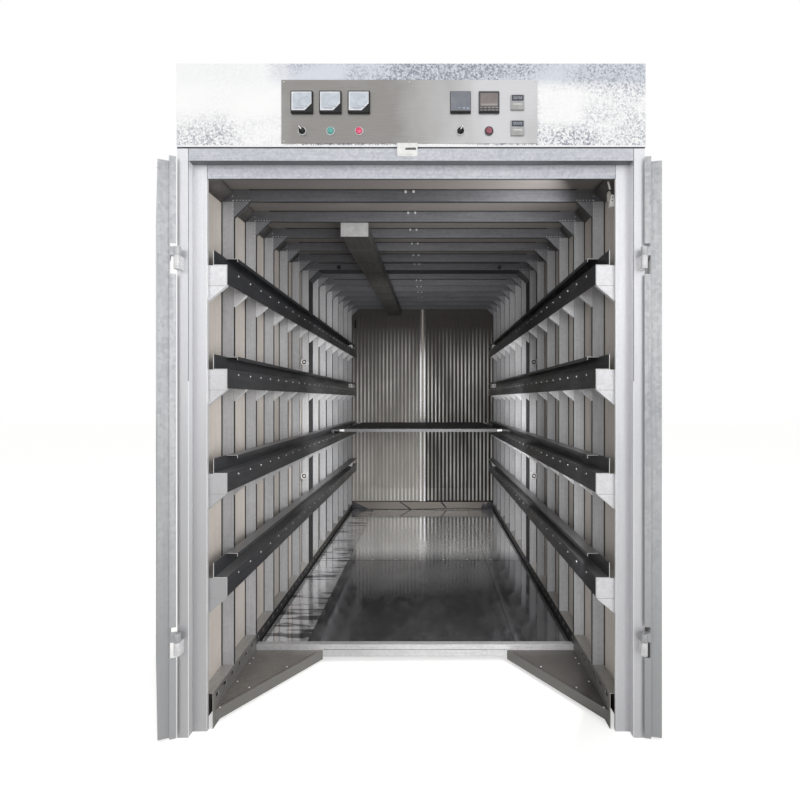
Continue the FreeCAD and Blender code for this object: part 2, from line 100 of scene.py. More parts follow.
def ceiling(y):
    """Height of the ceiling at y: it rises evenly from the doorway to the rear wall."""
    return ceiling_front + roof_rise * (y - front_y) / cabin_length


rib_fronts = front_y + bay_pitch * np.arange(1, rib_count + 1) - rib_width
rib_fronts[joint_bay - 1] = corners_of("module_seal")[0][1]
rail_seats = np.array([corners_of("left_rail_%d" % level)[0][2] + 70 * MM for level in range(1, 5)])
print("cabin length %.3f m, wall to wall %.3f m" % (cabin_length, 2 * wall_inner))
print("rail seats", np.round(rail_seats, 3))

# %% [markdown]
# The camera stands 2.07 m in front of the door frame, a little right of the middle and at chest
# height, and looks straight in. A straight look keeps the posts upright, and a small lens shift
# puts the vanishing point where the photograph has it, right of the picture's middle.

# %% Camera
PICTURE = 800
FOCAL_PIXELS = 568.2
VANISHING_POINT = (428.75, 399.8)
SENSOR = 36.0

camera_data = bpy.data.cameras.new("photo_camera")
camera_data.sensor_width = SENSOR
camera_data.lens = FOCAL_PIXELS / PICTURE * SENSOR
camera_data.shift_x = (PICTURE / 2 - VANISHING_POINT[0]) / PICTURE
camera_data.shift_y = (VANISHING_POINT[1] - PICTURE / 2) / PICTURE
camera_data.clip_end = 60
camera = bpy.data.objects.new("photo_camera", camera_data)
camera.location = (64.5 * MM, depth(-2070), 1231.9 * MM)
camera.rotation_euler = (math.radians(90), 0, 0)
bpy.context.scene.collection.objects.link(camera)
bpy.context.scene.camera = camera
bpy.context.scene.view_settings.view_transform = "Standard"
print("lens %.2f mm" % camera_data.lens)

# %% [markdown]
# A material here is a small graph of nodes. One helper adds a node: plain settings go in as
# keywords, and its inputs as a dictionary from the socket's name or number to a value or to
# another node's output. Colours are written as the hex values that a picture editor shows, and
# one function turns them into the linear values that the renderer works with.

# %% Colour and node helpers
def linear(hex_colour):
    """sRGB to linear: c / 12.92 for a channel up to 0.04045, or else ((c + 0.055) / 1.055) to the power 2.4."""
    channels = np.array([int(hex_colour[place:place + 2], 16) for place in (1, 3, 5)]) / 255
    low = channels / 12.92
    high = ((channels + 0.055) / 1.055) ** 2.4
    return (*np.where(channels <= 0.04045, low, high), 1.0)


def add_node(tree, kind, inputs=(), **settings):
    """Adds one node to a graph, with its settings, values and links."""
    node = tree.nodes.new(kind)
    for name, value in settings.items():
        setattr(node, name, value)
    for name, value in dict(inputs).items():
        if isinstance(value, bpy.types.NodeSocket):
            tree.links.new(value, node.inputs[name])
        else:
            node.inputs[name].default_value = value
    return node


def new_material(name, **values):
    """An empty material with its Principled shader; the values are set on the shader's own sockets."""
    material = bpy.data.materials.new(name)
    material.use_nodes = True
    tree = material.node_tree
    tree.nodes.clear()
    inputs = {socket.replace("_", " "): value for socket, value in values.items()}
    shader = add_node(tree, "ShaderNodeBsdfPrincipled", inputs)
    add_node(tree, "ShaderNodeOutputMaterial", {"Surface": shader.outputs["BSDF"]})
    return material, tree, shader


def stretched(tree, scale):
    """Object coordinates, in metres, multiplied along each axis: a small number draws a pattern out."""
    place = add_node(tree, "ShaderNodeTexCoord").outputs["Object"]
    return add_node(tree, "ShaderNodeMapping", {"Vector": place, "Scale": scale}).outputs["Vector"]


def blended(tree, factor, first, second):
    """Colour that runs from the first to the second as the factor runs from 0 to 1."""
    inputs = {0: factor, 6: first, 7: second}
    return add_node(tree, "ShaderNodeMix", inputs, data_type="RGBA").outputs[2]


def ranged(tree, value, low, high, to_low=0.0, to_high=1.0):
    """A value mapped from one range to another and held at the ends."""
    inputs = {"Value": value, "From Min": low, "From Max": high, "To Min": to_low, "To Max": to_high}
    return add_node(tree, "ShaderNodeMapRange", inputs).outputs["Result"]


def placed(tree, axis, low, high, output="Object"):
    """0 to 1 as a point's place, or with output Normal its facing, runs from low to high along an axis."""
    place = add_node(tree, "ShaderNodeTexCoord").outputs[output]
    part = add_node(tree, "ShaderNodeSeparateXYZ", {"Vector": place}).outputs[axis]
    return ranged(tree, part, low, high)


def from_middle(tree, scale=1.0):
    """Distance from the plane in the middle of the chamber, |X|, times a scale."""
    across = add_node(tree, "ShaderNodeSeparateXYZ", {0: stretched(tree, (scale,) * 3)}).outputs["X"]
    return add_node(tree, "ShaderNodeMath", {0: across}, operation="ABSOLUTE").outputs[0]


def paint(tree, shader, colour):
    """Links a colour to the shader, in place of any colour that it had."""
    tree.links.new(colour, shader.inputs["Base Color"])


def combined(tree, operation, value, *others):
    """Values joined one after another by an operation, and kept between 0 and 1 at each step."""
    for other in others:
        value = add_node(tree, "ShaderNodeMath", {0: value, 1: other}, operation=operation, use_clamp=True).outputs[0]
    return value


def set_bump(tree, shader, height, strength, millimetres):
    """Bump of a real depth on the shader's normal."""
    bump = add_node(tree, "ShaderNodeBump", {"Height": height, "Strength": strength, "Distance": millimetres * MM})
    tree.links.new(bump.outputs["Normal"], shader.inputs["Normal"])


print("white is", np.round(linear("#ffffff"), 3))

# %% [markdown]
# Most of the chamber is zinc-coated steel. Where the coat was dipped it froze into flat crystals,
# the spangle, 7 to 20 mm across, and each crystal throws the light its own way. Rolling the sheet
# afterwards leaves fine streaks along the rolling direction, and handling leaves cloudy patches.
# A Voronoi pattern gives one random value for each crystal, and a noise drawn out along one axis
# gives the streaks. The three amounts say how much of the range from the deep to the pale colour
# the crystals, the streaks and the clouds take up. Aged zinc is dull, so it is only partly a mirror.

# %% Zinc-coated sheet
def zinc_sheet(name, pale, deep, metallic, roughness, crystal, streak, amounts):
    """Crystals of a size in millimetres and streaks by their scale on each axis; returns the graph to paint on."""
    material, tree, shader = new_material(name, Metallic=metallic)
    place = stretched(tree, (1, 1, 1))
    cells = add_node(tree, "ShaderNodeTexVoronoi", {"Vector": place, "Scale": 1000 / crystal})
    cell_tone = add_node(tree, "ShaderNodeSeparateColor", {"Color": cells.outputs["Color"]}).outputs["Red"]
    streaks = add_node(tree, "ShaderNodeTexNoise", {"Vector": stretched(tree, streak), "Scale": 1.0, "Detail": 3.0})
    clouds = add_node(tree, "ShaderNodeTexNoise", {"Vector": place, "Scale": 2.3, "Detail": 3.0})
    shares = ((cell_tone, 0.0, 1.0), (streaks.outputs["Fac"], 0.3, 0.7), (clouds.outputs["Fac"], 0.3, 0.7))
    tone = 0.5
    for (value, low, high), amount in zip(shares, amounts):
        share = ranged(tree, value, low, high, -0.5 * amount, 0.5 * amount)
        tone = add_node(tree, "ShaderNodeMath", {0: share, 1: tone}, operation="ADD").outputs[0]
    colour = blended(tree, combined(tree, "ADD", tone, 0.0), linear(deep), linear(pale))
    paint(tree, shader, colour)
    tree.links.new(ranged(tree, tone, 0.0, 1.0, roughness[1], roughness[0]), shader.inputs["Roughness"])
    set_bump(tree, shader, streaks.outputs["Fac"], 0.2, 0.2)
    return material, tree, shader, colour


# Head and top member: rolled sheet with a bluish spangle and streaks running across.
member_zinc, tree, shader, colour = zinc_sheet("rolled_member_sheet", "#d9dbe1", "#b7bac2", 0.4, (0.28, 0.42), 9,
                                               (5, 260, 260), (0.5, 0.4, 0.5))
# The faces that look down are painted dark grey: painted shade under the member.
paint(tree, shader, blended(tree, placed(tree, "Z", -0.75, -0.9, "Normal"), colour, linear("#5f6064")))
# Brackets: small bright pressings.
bracket_zinc, tree, shader, colour = zinc_sheet("bright_bracket_zinc", "#ececee", "#d2d2d5", 0.3, (0.3, 0.45), 8,
                                                (60, 60, 60), (0.4, 0.3, 0.4))
# Painted shade: the brackets on the left side turn darker towards the foot.
lower_left_shade = combined(tree, "MULTIPLY", placed(tree, "Z", 1.6, 0.6), placed(tree, "X", 0.01, -0.01))
paint(tree, shader, blended(tree, lower_left_shade, colour, linear("#acacae")))
door_zinc, tree, shader, colour = zinc_sheet("hot_dipped_door_sheet", "#cfd0d2", "#abadb1", 0.4, (0.3, 0.48), 14,
                                             (120, 120, 5), (0.5, 0.4, 0.5))
paint(tree, shader, blended(tree, placed(tree, "Z", 1.2, 0.2), colour, linear("#adaeb0")))
tube_zinc = zinc_sheet("zinc_plated_tube", "#808081", "#626264", 0.35, (0.22, 0.35), 6, (8, 200, 200),
                       (0.3, 0.4, 0.3))[0]
plated_steel = zinc_sheet("zinc_plated_hardware", "#f2f2f3", "#cacacc", 0.4, (0.22, 0.36), 4, (90, 90, 90),
                          (0.3, 0.3, 0.3))[0]
# White zinc: bright plating on small parts, and painted highlights where it is laid along a fold or on a lit end.
bright_plating_and_highlight = zinc_sheet("bright_plating_and_painted_highlight", "#ffffff", "#f0f0f2", 0.3, (0.3, 0.4), 6, (9, 90, 90),
                         (0.3, 0.4, 0.3))[0]
print("zinc sheets:", len(bpy.data.materials))

# %% [markdown]
# The header's sheet came out of the zinc bath almost white. Broad areas are painted smooth and
# bright as glare, a painted reflection, and between them the spangle shows as grey flecks, so one
# large noise decides where the flecks show.
# The door posts are rolled sheet with upright streaks. They are painted darker towards the foot,
# and more so on the left post: painted shade.

# %% Header and post sheets
# Places on a piece are in metres here: X from the chamber's middle and Z from the ground.
header_zinc, tree, shader = zinc_sheet("hot_dipped_header_sheet", "#fbfbfc", "#f2f3f5", 0.35, (0.32, 0.5), 9,
                                       (30, 30, 30), (0.8, 0.3, 0.4))[:3]
flecks = add_node(tree, "ShaderNodeTexVoronoi", {"Vector": stretched(tree, (1, 1, 1)), "Scale": 190})
fleck_tone = add_node(tree, "ShaderNodeSeparateColor", {"Color": flecks.outputs["Color"]}).outputs["Green"]
grit = add_node(tree, "ShaderNodeTexNoise", {"Vector": stretched(tree, (1, 1, 1)), "Scale": 130.0, "Detail": 4.0})
fleck_mix = combined(tree, "MULTIPLY", fleck_tone, ranged(tree, grit.outputs["Fac"], 0.3, 0.7))
# The large noise also paints broad glare: where it is low the flecks fade and the sheet shows as a smooth painted
# reflection.
glare = add_node(tree, "ShaderNodeTexNoise", {"Vector": stretched(tree, (1, 1, 1.4)), "Scale": 2.6, "Detail": 2.0})
# Two areas of the front throw the light back whole: the left end and a patch beside the plate.
front_face = placed(tree, "Y", -0.5, -0.8, "Normal")
left_glare = combined(tree, "MULTIPLY", placed(tree, "X", -0.42, -0.54), front_face, placed(tree, "Z", 2.2, 2.3))
right_glare = combined(tree, "MULTIPLY", placed(tree, "X", 0.42, 0.48), placed(tree, "X", 0.70, 0.60), front_face,
                       placed(tree, "Z", 2.2, 2.25), placed(tree, "Z", 2.40, 2.35))
outside_painted_glare = ranged(tree, combined(tree, "MAXIMUM", left_glare, right_glare), 0.0, 1.0, 1.0, 0.1)
fleck_reach = combined(tree, "MULTIPLY", fleck_mix, ranged(tree, glare.outputs["Fac"], 0.38, 0.56, 0.1, 1.9),
                       ranged(tree, from_middle(tree), 0.35, 0.85, 1.3, 0.7), outside_painted_glare)
above_plate = combined(tree, "MULTIPLY", placed(tree, "Z", 2.36, 2.40), outside_painted_glare)
sheet_tone = blended(tree, above_plate, linear("#ffffff"), linear("#dde1e9"))
paint(tree, shader, blended(tree, fleck_reach, sheet_tone, linear("#9196a2")))

frame_zinc, tree, shader, colour = zinc_sheet("rolled_frame_sheet", "#f6f6fa", "#e6e7ec", 0.4, (0.28, 0.42), 9,
                                              (260, 260, 5), (0.3, 0.5, 0.4))
# Painted shade: darker towards the foot, and more so on the left post.
left_share = ranged(tree, placed(tree, "X", 0.01, -0.01), 0.0, 1.0, 0.6, 1.0)
painted_shade_reach = combined(tree, "MULTIPLY", placed(tree, "Z", 2.2, 0.6), left_share)
paint(tree, shader, blended(tree, painted_shade_reach, colour, linear("#c2c2c4")))
print("made", header_zinc.name, frame_zinc.name)

# %% [markdown]
# Each rib is a folded channel. Its face to the doorway is plain dull zinc, and its inner face is
# painted near black: painted shade and dark reflection on that narrow face. The Normal output of
# Texture Coordinate says which way a face points on the piece itself, so one graph tells the two
# apart. The roof bows are the same channel in a darker copy of the sheet, painted shade, and are
# painted darker still underneath. The sills and the corner haunches are of the same sheet, painted
# darker, as shade, on the faces that look down or stand in the shade of the rails.

# %% Ribs and bows with painted shade
def with_painted_shade(name, pale, deep, streak, axis, ends):
    """Rib sheet painted near black, as shade, where the surface faces along an axis, either way."""
    material, tree, shader, colour = zinc_sheet(name, pale, deep, 0.3, (0.34, 0.5), 12, streak, (0.25, 0.4, 0.5))
    # Painted shade: the faces along the axis turn near black.
    for low, high in ends:
        colour = blended(tree, placed(tree, axis, low, high, "Normal"), colour, linear("#333335"))
    paint(tree, shader, colour)
    return material


rib_zinc = with_painted_shade("folded_rib_zinc", "#cfd0d3", "#b0b1b4", (150, 150, 6), "X", ((0.6, 0.8), (-0.6, -0.8)))
# The bows are a darker copy of the rib sheet: painted shade of the ceiling, darker still underneath.
bow_zinc = with_painted_shade("folded_bow_zinc", "#818286", "#636468", (6, 150, 150), "Z", ((-0.6, -0.66),))
sill_zinc, tree, shader, colour = zinc_sheet("folded_sill_zinc", "#bab8b4", "#9b9996", 0.3, (0.34, 0.5), 12,
                                             (150, 6, 150), (0.25, 0.4, 0.5))
# The web's sides are painted grey near the doorway, a painted reflection, and near black further in, painted shade.
web_side = combined(tree, "MAXIMUM", placed(tree, "X", 0.6, 0.8, "Normal"), placed(tree, "X", -0.6, -0.8, "Normal"))
web_reflection_and_shade = blended(tree, placed(tree, "Y", depth(570), depth(610)), linear("#787775"), linear("#3c3c3d"))
paint(tree, shader, blended(tree, web_side, colour, web_reflection_and_shade))
haunch_zinc, tree, shader, colour = zinc_sheet("folded_haunch_zinc", "#a2a3a7", "#85868a", 0.3, (0.34, 0.5), 12,
                                               (60, 60, 60), (0.3, 0.3, 0.5))
# Faces that don't look to the doorway are painted dark: painted shade.
paint(tree, shader, blended(tree, placed(tree, "Y", -0.85, -0.3, "Normal"), colour, linear("#4d4e51")))
plain_rib = zinc_sheet("plain_rib_zinc", "#d8d8d9", "#b2b2b4", 0.3, (0.34, 0.5), 12, (8, 150, 150),
                       (0.3, 0.4, 0.5))[0]
print("made", rib_zinc.name, bow_zinc.name, plain_rib.name)

# %% [markdown]
# The panels between the ribs are satin zinc with a warm chromate tint. They are nearly plain: a
# faint upright grain and slow clouds of tone are all that shows. The undersides of the roof panels
# are painted darker, and the coves in the corners are a darker copy of the same sheet: both are
# painted shade. The rear lining is darker, beaded sheet, painted lighter at its lower left and
# darker on its right half and towards the top, as painted light and shade. The strips that stand
# before it are bright, all but the dull kick plate at the foot.

# %% Panel faces
wall_zinc = zinc_sheet("chromated_wall_sheet", "#d0c9c2", "#b9b1aa", 0.2, (0.38, 0.55), 18, (60, 60, 3),
                       (0.12, 0.35, 0.6))[0]
roof_zinc, tree, shader, colour = zinc_sheet("chromated_roof_sheet", "#d0c9c2", "#b9b1aa", 0.2, (0.4, 0.6), 18,
                                             (3, 60, 60), (0.12, 0.3, 0.6))
# Painted shade: the faces that look down are darker.
painted_ceiling_shade = blended(tree, 0.93, colour, linear("#7b7673"))
paint(tree, shader, blended(tree, placed(tree, "Z", -0.6, -0.8, "Normal"), colour, painted_ceiling_shade))
# The coves are a darker copy of the roof sheet: painted shade.
shaded_cove_zinc = zinc_sheet("cove_sheet_in_painted_shade", "#6e6b69", "#575553", 0.2, (0.4, 0.6), 18, (3, 60, 60),
                       (0.12, 0.3, 0.6))[0]
# The pressed beads are 39 mm apart, counted from the ribs, and their crests are painted bright: a painted highlight.
BEAD_PITCH = 39 * MM
BEAD_START = rib_inner - BEAD_PITCH / 2
lining_sheet, tree, shader, colour = zinc_sheet("beaded_lining_sheet", "#8b8883", "#716e6a", 0.35, (0.26, 0.42), 14,
                                                (40, 40, 3), (0.1, 0.12, 0.4))
# Painted light and shade: the lower left is lighter, the right half darker, and the top darker still.
low_left = combined(tree, "MULTIPLY", placed(tree, "Z", 1.25, 0.75), placed(tree, "X", 0.01, -0.01))
lit_foot = blended(tree, low_left, colour, linear("#b8b4ad"))
shaded_right_half = blended(tree, placed(tree, "X", -0.01, 0.01), lit_foot, linear("#35322f"))
painted_top_shade = blended(tree, placed(tree, "Z", 1.2, 2.1), shaded_right_half, linear("#5e5b58"))
bead_count = {0: from_middle(tree, 1 / BEAD_PITCH), 1: 0.5 - BEAD_START / BEAD_PITCH}
shifted = add_node(tree, "ShaderNodeMath", bead_count, operation="ADD").outputs[0]
wrapped = add_node(tree, "ShaderNodeMath", {0: shifted, 1: 1.0}, operation="FLOORED_MODULO").outputs[0]
from_crest = add_node(tree, "ShaderNodeMath", {0: wrapped, 1: 0.5}, operation="SUBTRACT").outputs[0]
off_crest = add_node(tree, "ShaderNodeMath", {0: from_crest}, operation="ABSOLUTE").outputs[0]
wavy = add_node(tree, "ShaderNodeTexNoise", {"Vector": stretched(tree, (5, 5, 1.6)), "Scale": 1.0, "Detail": 2.0})
# Painted highlight along each bead's crest.
painted_crest_highlight = combined(tree, "MULTIPLY", ranged(tree, off_crest, 0.30, 0.12),
                  ranged(tree, wavy.outputs["Fac"], 0.35, 0.65, 0.35, 1.0),
                  placed(tree, "Z", 0.170, 0.180), placed(tree, "Z", 2.0, 1.6))
paint(tree, shader, blended(tree, painted_crest_highlight, painted_top_shade, linear("#fffdf8")))
trim_zinc, tree, shader, colour = zinc_sheet("bright_rear_trim", "#ffffff", "#ececec", 0.9, (0.12, 0.2), 10,
                                             (200, 200, 4), (0.2, 0.3, 0.3))
paint(tree, shader, blended(tree, placed(tree, "Z", 0.170, 0.168), colour, linear("#9c958e")))
tree.links.new(ranged(tree, placed(tree, "Z", 0.168, 0.170), 0.0, 1.0, 0.15, 0.92), shader.inputs["Metallic"])
print("made", wall_zinc.name, roof_zinc.name, lining_sheet.name, trim_zinc.name)

# %% [markdown]
# The shelf rails are rolled steel, painted dark for the dark reflection and shade that their aprons
# show. The faces that look up are painted a little paler, as light from above, and the cut ends are
# bare metal.

# %% Rail and tray steels
# The dark base is painted: the dark reflection and shade of the aprons.
rail_steel, tree, shader, dark = zinc_sheet("phosphated_rail_steel", "#48494c", "#363739", 0.4, (0.3, 0.45), 10,
                                            (60, 5, 60), (0.15, 0.4, 0.5))
# Painted light: the faces that look up are paler.
lit_tops = blended(tree, placed(tree, "Z", 0.6, 0.8, "Normal"), dark, linear("#858587"))
paint(tree, shader, blended(tree, placed(tree, "Y", -0.6, -0.8, "Normal"), lit_tops, linear("#d6d6d6")))
trunking_steel = zinc_sheet("grey_trunking_steel", "#565554", "#434241", 0.3, (0.35, 0.5), 12, (80, 5, 80),
                            (0.15, 0.4, 0.5))[0]
tray_steel = zinc_sheet("dark_tray_sheet", "#262628", "#1b1b1d", 0.1, (0.5, 0.65), 12, (6, 80, 80),
                        (0.2, 0.3, 0.4))[0]
print("made", rail_steel.name, trunking_steel.name, tray_steel.name)

# %% [markdown]
# The floor is dark, polished sheet that people and trays have dulled. It is half a mirror, so the
# ribs and the rear lining stand upside down in it, but the sheet isn't flat: waves of about 60 mm
# and 250 mm make the reflections run, as thin sheet on foam does. Scuffs raise the roughness in
# patches. The plates at the doorway are the same sheet, worn brown-grey and matt by boots.

# %% Floor sheets
floor_sheet, tree, shader = new_material("polished_floor_sheet", Metallic=0.75)
waves = [add_node(tree, "ShaderNodeTexNoise", {"Vector": stretched(tree, scale), "Scale": 1.0, "Detail": detail})
         for scale, detail in (((4, 4, 4), 1.0), ((16, 11, 16), 2.0))]
scuff_inputs = {"Vector": stretched(tree, (7, 3, 7)), "Scale": 1.0, "Detail": 8.0, "Roughness": 0.75}
scuffs = add_node(tree, "ShaderNodeTexNoise", scuff_inputs)
wave = add_node(tree, "ShaderNodeMix", {0: 0.3, 2: waves[0].outputs["Fac"], 3: waves[1].outputs["Fac"]}).outputs[0]
floor_tone = blended(tree, ranged(tree, scuffs.outputs["Fac"], 0.4, 0.62), linear("#7e7e81"), linear("#959597"))
# Painted reflection: the left strip and the floor from Y 0.3 m on are painted near white, with darker ripples in the
# strip.
side_strip = placed(tree, "X", -0.508, -0.512)
painted_reflection_reach = combined(tree, "MAXIMUM", side_strip, placed(tree, "Y", 0.0, 0.3))
ripples = add_node(tree, "ShaderNodeTexNoise", {"Vector": stretched(tree, (5, 22, 5)), "Scale": 1.0, "Detail": 3.0})
rippled_painted_reflection = combined(tree, "MULTIPLY", side_strip, ranged(tree, ripples.outputs["Fac"], 0.52, 0.6))
painted_reflection_sheet = blended(tree, painted_reflection_reach, floor_tone, linear("#f4f4f5"))
paint(tree, shader, blended(tree, rippled_painted_reflection, painted_reflection_sheet, linear("#7c7c7e")))
tree.links.new(ranged(tree, scuffs.outputs["Fac"], 0.42, 0.7, 0.06, 0.24), shader.inputs["Roughness"])
set_bump(tree, shader, wave, 0.5, 1.6)
tread_zinc, tree, shader, colour = zinc_sheet("worn_tread_sheet", "#96918c", "#7f7a76", 0.3, (0.35, 0.55), 14,
                                              (20, 20, 20), (0.3, 0.3, 0.6))
worn_top = blended(tree, placed(tree, "X", -0.1, 0.1), colour, linear("#6b6865"))
paint(tree, shader, blended(tree, placed(tree, "Y", -0.3, -0.6, "Normal"), worn_top, linear("#6f6f6c")))
print("made", floor_sheet.name, tread_zinc.name)

# %% [markdown]
# The control plate is brushed stainless steel. The belt that brushed it ran sideways, so its
# scratches are long in X and hair-fine in Z. Real brush lines are about 0.05 mm wide: they are
# drawn about ten times as coarse, because finer lines would vanish in the picture. The plate is
# duller on its left, where hands work the switches, and clean on its right.

# %% Brushed control plate
control_steel, tree, shader = new_material("brushed_stainless_plate", Metallic=0.8, Anisotropic=0.4)
BRUSH_LINES = (12, 12, 1900)
brush = add_node(tree, "ShaderNodeTexNoise", {"Vector": stretched(tree, BRUSH_LINES), "Scale": 1.0, "Detail": 4.0})
cloud = add_node(tree, "ShaderNodeTexNoise", {"Vector": stretched(tree, (5, 5, 3)), "Scale": 1.0, "Detail": 3.0})
grain = ranged(tree, brush.outputs["Fac"], 0.3, 0.7)
dull_side = blended(tree, grain, linear("#8f8d8a"), linear("#a4a19e"))
clean_side = blended(tree, grain, linear("#d2d2d5"), linear("#e0e0e1"))
across = placed(tree, "X", -0.1, 0.3)
drift = ranged(tree, cloud.outputs["Fac"], 0.3, 0.7, -0.25, 0.25)
paint(tree, shader, blended(tree, combined(tree, "ADD", across, drift), dull_side, clean_side))
tree.links.new(ranged(tree, brush.outputs["Fac"], 0.3, 0.7, 0.32, 0.42), shader.inputs["Roughness"])
set_bump(tree, shader, brush.outputs["Fac"], 0.15, 0.1)
print("made", control_steel.name)

# %% [markdown]
# Dials, controllers and buttons are moulded plastics: ABS and polycarbonate. Moulding leaves a
# faint orange-peel skin, so a small noise bump breaks the highlight, and gloss differs by part.
# The IOR of these plastics is near 1.5. A printed scale or a key is the same plastic in another
# colour, so one short function makes them all.

# %% Moulded plastics
def moulded(name, colour, worn, roughness, peel=1.2):
    """Plastic whose colour drifts between two close tones; peel is the skin's pattern size in millimetres."""
    material, tree, shader = new_material(name, Roughness=roughness, IOR=1.5)
    skin = add_node(tree, "ShaderNodeTexNoise", {"Vector": stretched(tree, (1, 1, 1)), "Scale": 1000 / peel})
    drift = add_node(tree, "ShaderNodeTexNoise", {"Vector": stretched(tree, (1, 1, 1)), "Scale": 40.0})
    share = ranged(tree, drift.outputs["Fac"], 0.35, 0.65)
    paint(tree, shader, blended(tree, share, linear(colour), linear(worn)))
    set_bump(tree, shader, skin.outputs["Fac"], 0.08, 0.2)
    return material


black_abs = moulded("black_moulded_abs", "#151617", "#1e1f20", 0.55)
dial_rim = moulded("white_dial_rim", "#f2f3f7", "#e6e8ee", 0.4)
dial_card = moulded("pale_dial_card", "#d0d6de", "#c3cad3", 0.5)
dial_print = moulded("grey_dial_print", "#8f949c", "#7d828a", 0.6)
grey_abs = moulded("grey_counter_abs", "#b4b4b4", "#a6a6a6", 0.45)
pale_abs = moulded("pale_counter_insert", "#cfcdca", "#c2c0bd", 0.45)
slate_abs = moulded("slate_controller_face", "#82858d", "#787b83", 0.35)
taupe_abs = moulded("taupe_controller_face", "#8b8482", "#7d7675", 0.35)
charcoal_abs = moulded("charcoal_controller_case", "#545458", "#48484b", 0.35)
dark_window = moulded("smoked_display_window", "#4a4d5a", "#3b3e49", 0.15)
pale_key = moulded("pale_rubber_key", "#aeb9cc", "#9ca8bc", 0.55)
dull_key = moulded("dull_rubber_key", "#a8a3a2", "#969190", 0.55)
lit_digit = moulded("pale_display_digit", "#e6e9ee", "#d5d9df", 0.5)
green_cap = moulded("green_push_cap", "#4f9c95", "#66ada6", 0.25)
red_cap = moulded("red_push_cap", "#e04069", "#e66a8a", 0.25)
lamp_cap = moulded("dull_red_lamp_cap", "#965663", "#a86f7a", 0.2)
white_pointer = moulded("white_knob_pointer", "#f4f4f2", "#e6e6e4", 0.45)
white_enamel = moulded("white_enamelled_keeper", "#f4f4f2", "#e4e4e2", 0.3)
white_abs = moulded("white_switch_body", "#f6f5f2", "#e8e6e2", 0.4)
beige_abs = moulded("beige_switch_arm", "#a6a39d", "#94918b", 0.5)
seal_rubber = moulded("black_seal_rubber", "#2e2e30", "#3a3a3c", 0.75)
black_gap = moulded("black_open_joint", "#141416", "#1b1b1d", 0.9)
print("materials:", len(bpy.data.materials))

# %% [markdown]
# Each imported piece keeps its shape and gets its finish. Folded steel never has a knife edge, and
# the thin line of light along a fold is much of what makes sheet metal look real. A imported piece
# is loose triangles, so a Weld modifier first joins them, and a Bevel modifier then rounds only
# the edges that turn by more than 30 degrees.

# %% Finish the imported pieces
def finish_nodes(names, material, fold=0.0):
    """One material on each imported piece, and rounded folds of a radius in millimetres where one is given."""
    for name in names:
        piece = nodes[name]
        piece.data.materials.clear()
        piece.data.materials.append(material)
        if fold:
            weld = piece.modifiers.new("join_triangles", "WELD")
            weld.merge_threshold = 0.01 * MM
            edge = piece.modifiers.new("round_folds", "BEVEL")
            edge.width = fold * MM
            edge.segments = 2
            edge.limit_method = "ANGLE"
            edge.angle_limit = math.radians(30)
            edge.harden_normals = True


rails = ["%s_rail_%d" % (side, level) for side in ("left", "right") for level in range(1, 5)]
FINISHES = (
    (wall_zinc, 0.0, ["left_wall", "right_wall"]), (roof_zinc, 0.0, ["roof", "rear_wall"]),
    (lining_sheet, 0.0, ["rear_lining"]), (trim_zinc, 1.5, ["rear_trims"]),
    (rib_zinc, 1.5, ["left_uprights", "right_uprights"]), (bow_zinc, 1.5, ["roof_bows"]),
    (haunch_zinc, 1.5, ["corner_haunches"]), (seal_rubber, 0.0, ["module_seal"]),
    (sill_zinc, 1.5, ["sill_channels"]), (plain_rib, 1.5, ["floor_bearers"]),
    (floor_sheet, 0.0, ["floor_panels"]), (plain_rib, 1.0, ["floor_nosing"]), (tread_zinc, 1.0, ["entry_plates"]),
    (frame_zinc, 1.2, ["frame_posts", "door_jambs"]), (member_zinc, 1.2, ["frame_top_member", "frame_head"]),
    (rail_steel, 0.8, rails), (bracket_zinc, 1.0, ["left_brackets", "right_brackets"]),
    (trunking_steel, 2.0, ["ceiling_trunking"]), (header_zinc, 2.0, ["header_box"]),
    (control_steel, 0.8, ["control_plate"]), (white_enamel, 1.0, ["latch_keeper"]),
    (plated_steel, 0.8, ["frame_hinges", "joint_bolts"]), (door_zinc, 1.0, ["left_door", "right_door"]),
    (plated_steel, 3.0, ["left_door_handle", "right_door_handle"]), (tube_zinc, 1.0, ["tray_frame"]),
    (tray_steel, 0.6, ["tray_plate"]),
)
for material, fold, names in FINISHES:
    finish_nodes(names, material, fold)
print("pieces finished:", sum(len(piece.data.materials) > 0 for piece in nodes.values()), "of", len(nodes))

# %% [markdown]
# New pieces are worked out as arrays of points. A shape is kept as four arrays: its points, the
# point numbers of its faces one after another, how many corners each face has, and which finish
# each face takes. Almost everything here is a row of closed rings joined by quads and closed with
# a cap at each end: a screw, a bezel and a rail lip differ only in their rings.

# %% Shapes as arrays
class Shape(NamedTuple):
    """Closed surface: points, the faces' point numbers in a row, corners of each face, finish of each face."""
    points: np.ndarray
    corners: np.ndarray
    sizes: np.ndarray
    finish: np.ndarray


def ringed(rings, finish=0):
    """Rings (n, k, 3): point (i, j) joins (i, j+1), (i+1, j+1) and (i+1, j), and j wraps; end rings are caps."""
    rings = np.asarray(rings, float)
    count, around = rings.shape[:2]
    i, j = np.meshgrid(np.arange(count - 1), np.arange(around), indexing="ij")
    after = (j + 1) % around
    quads = np.stack([i * around + j, i * around + after, (i + 1) * around + after, (i + 1) * around + j], -1)
    first = np.arange(around)[::-1]
    last = (count - 1) * around + np.arange(around)
    corners = np.concatenate([quads.ravel(), first, last])
    sizes = np.concatenate([np.full(quads.size // 4, 4), [around, around]])
    return Shape(rings.reshape(-1, 3), corners, sizes, np.full(len(sizes), finish))


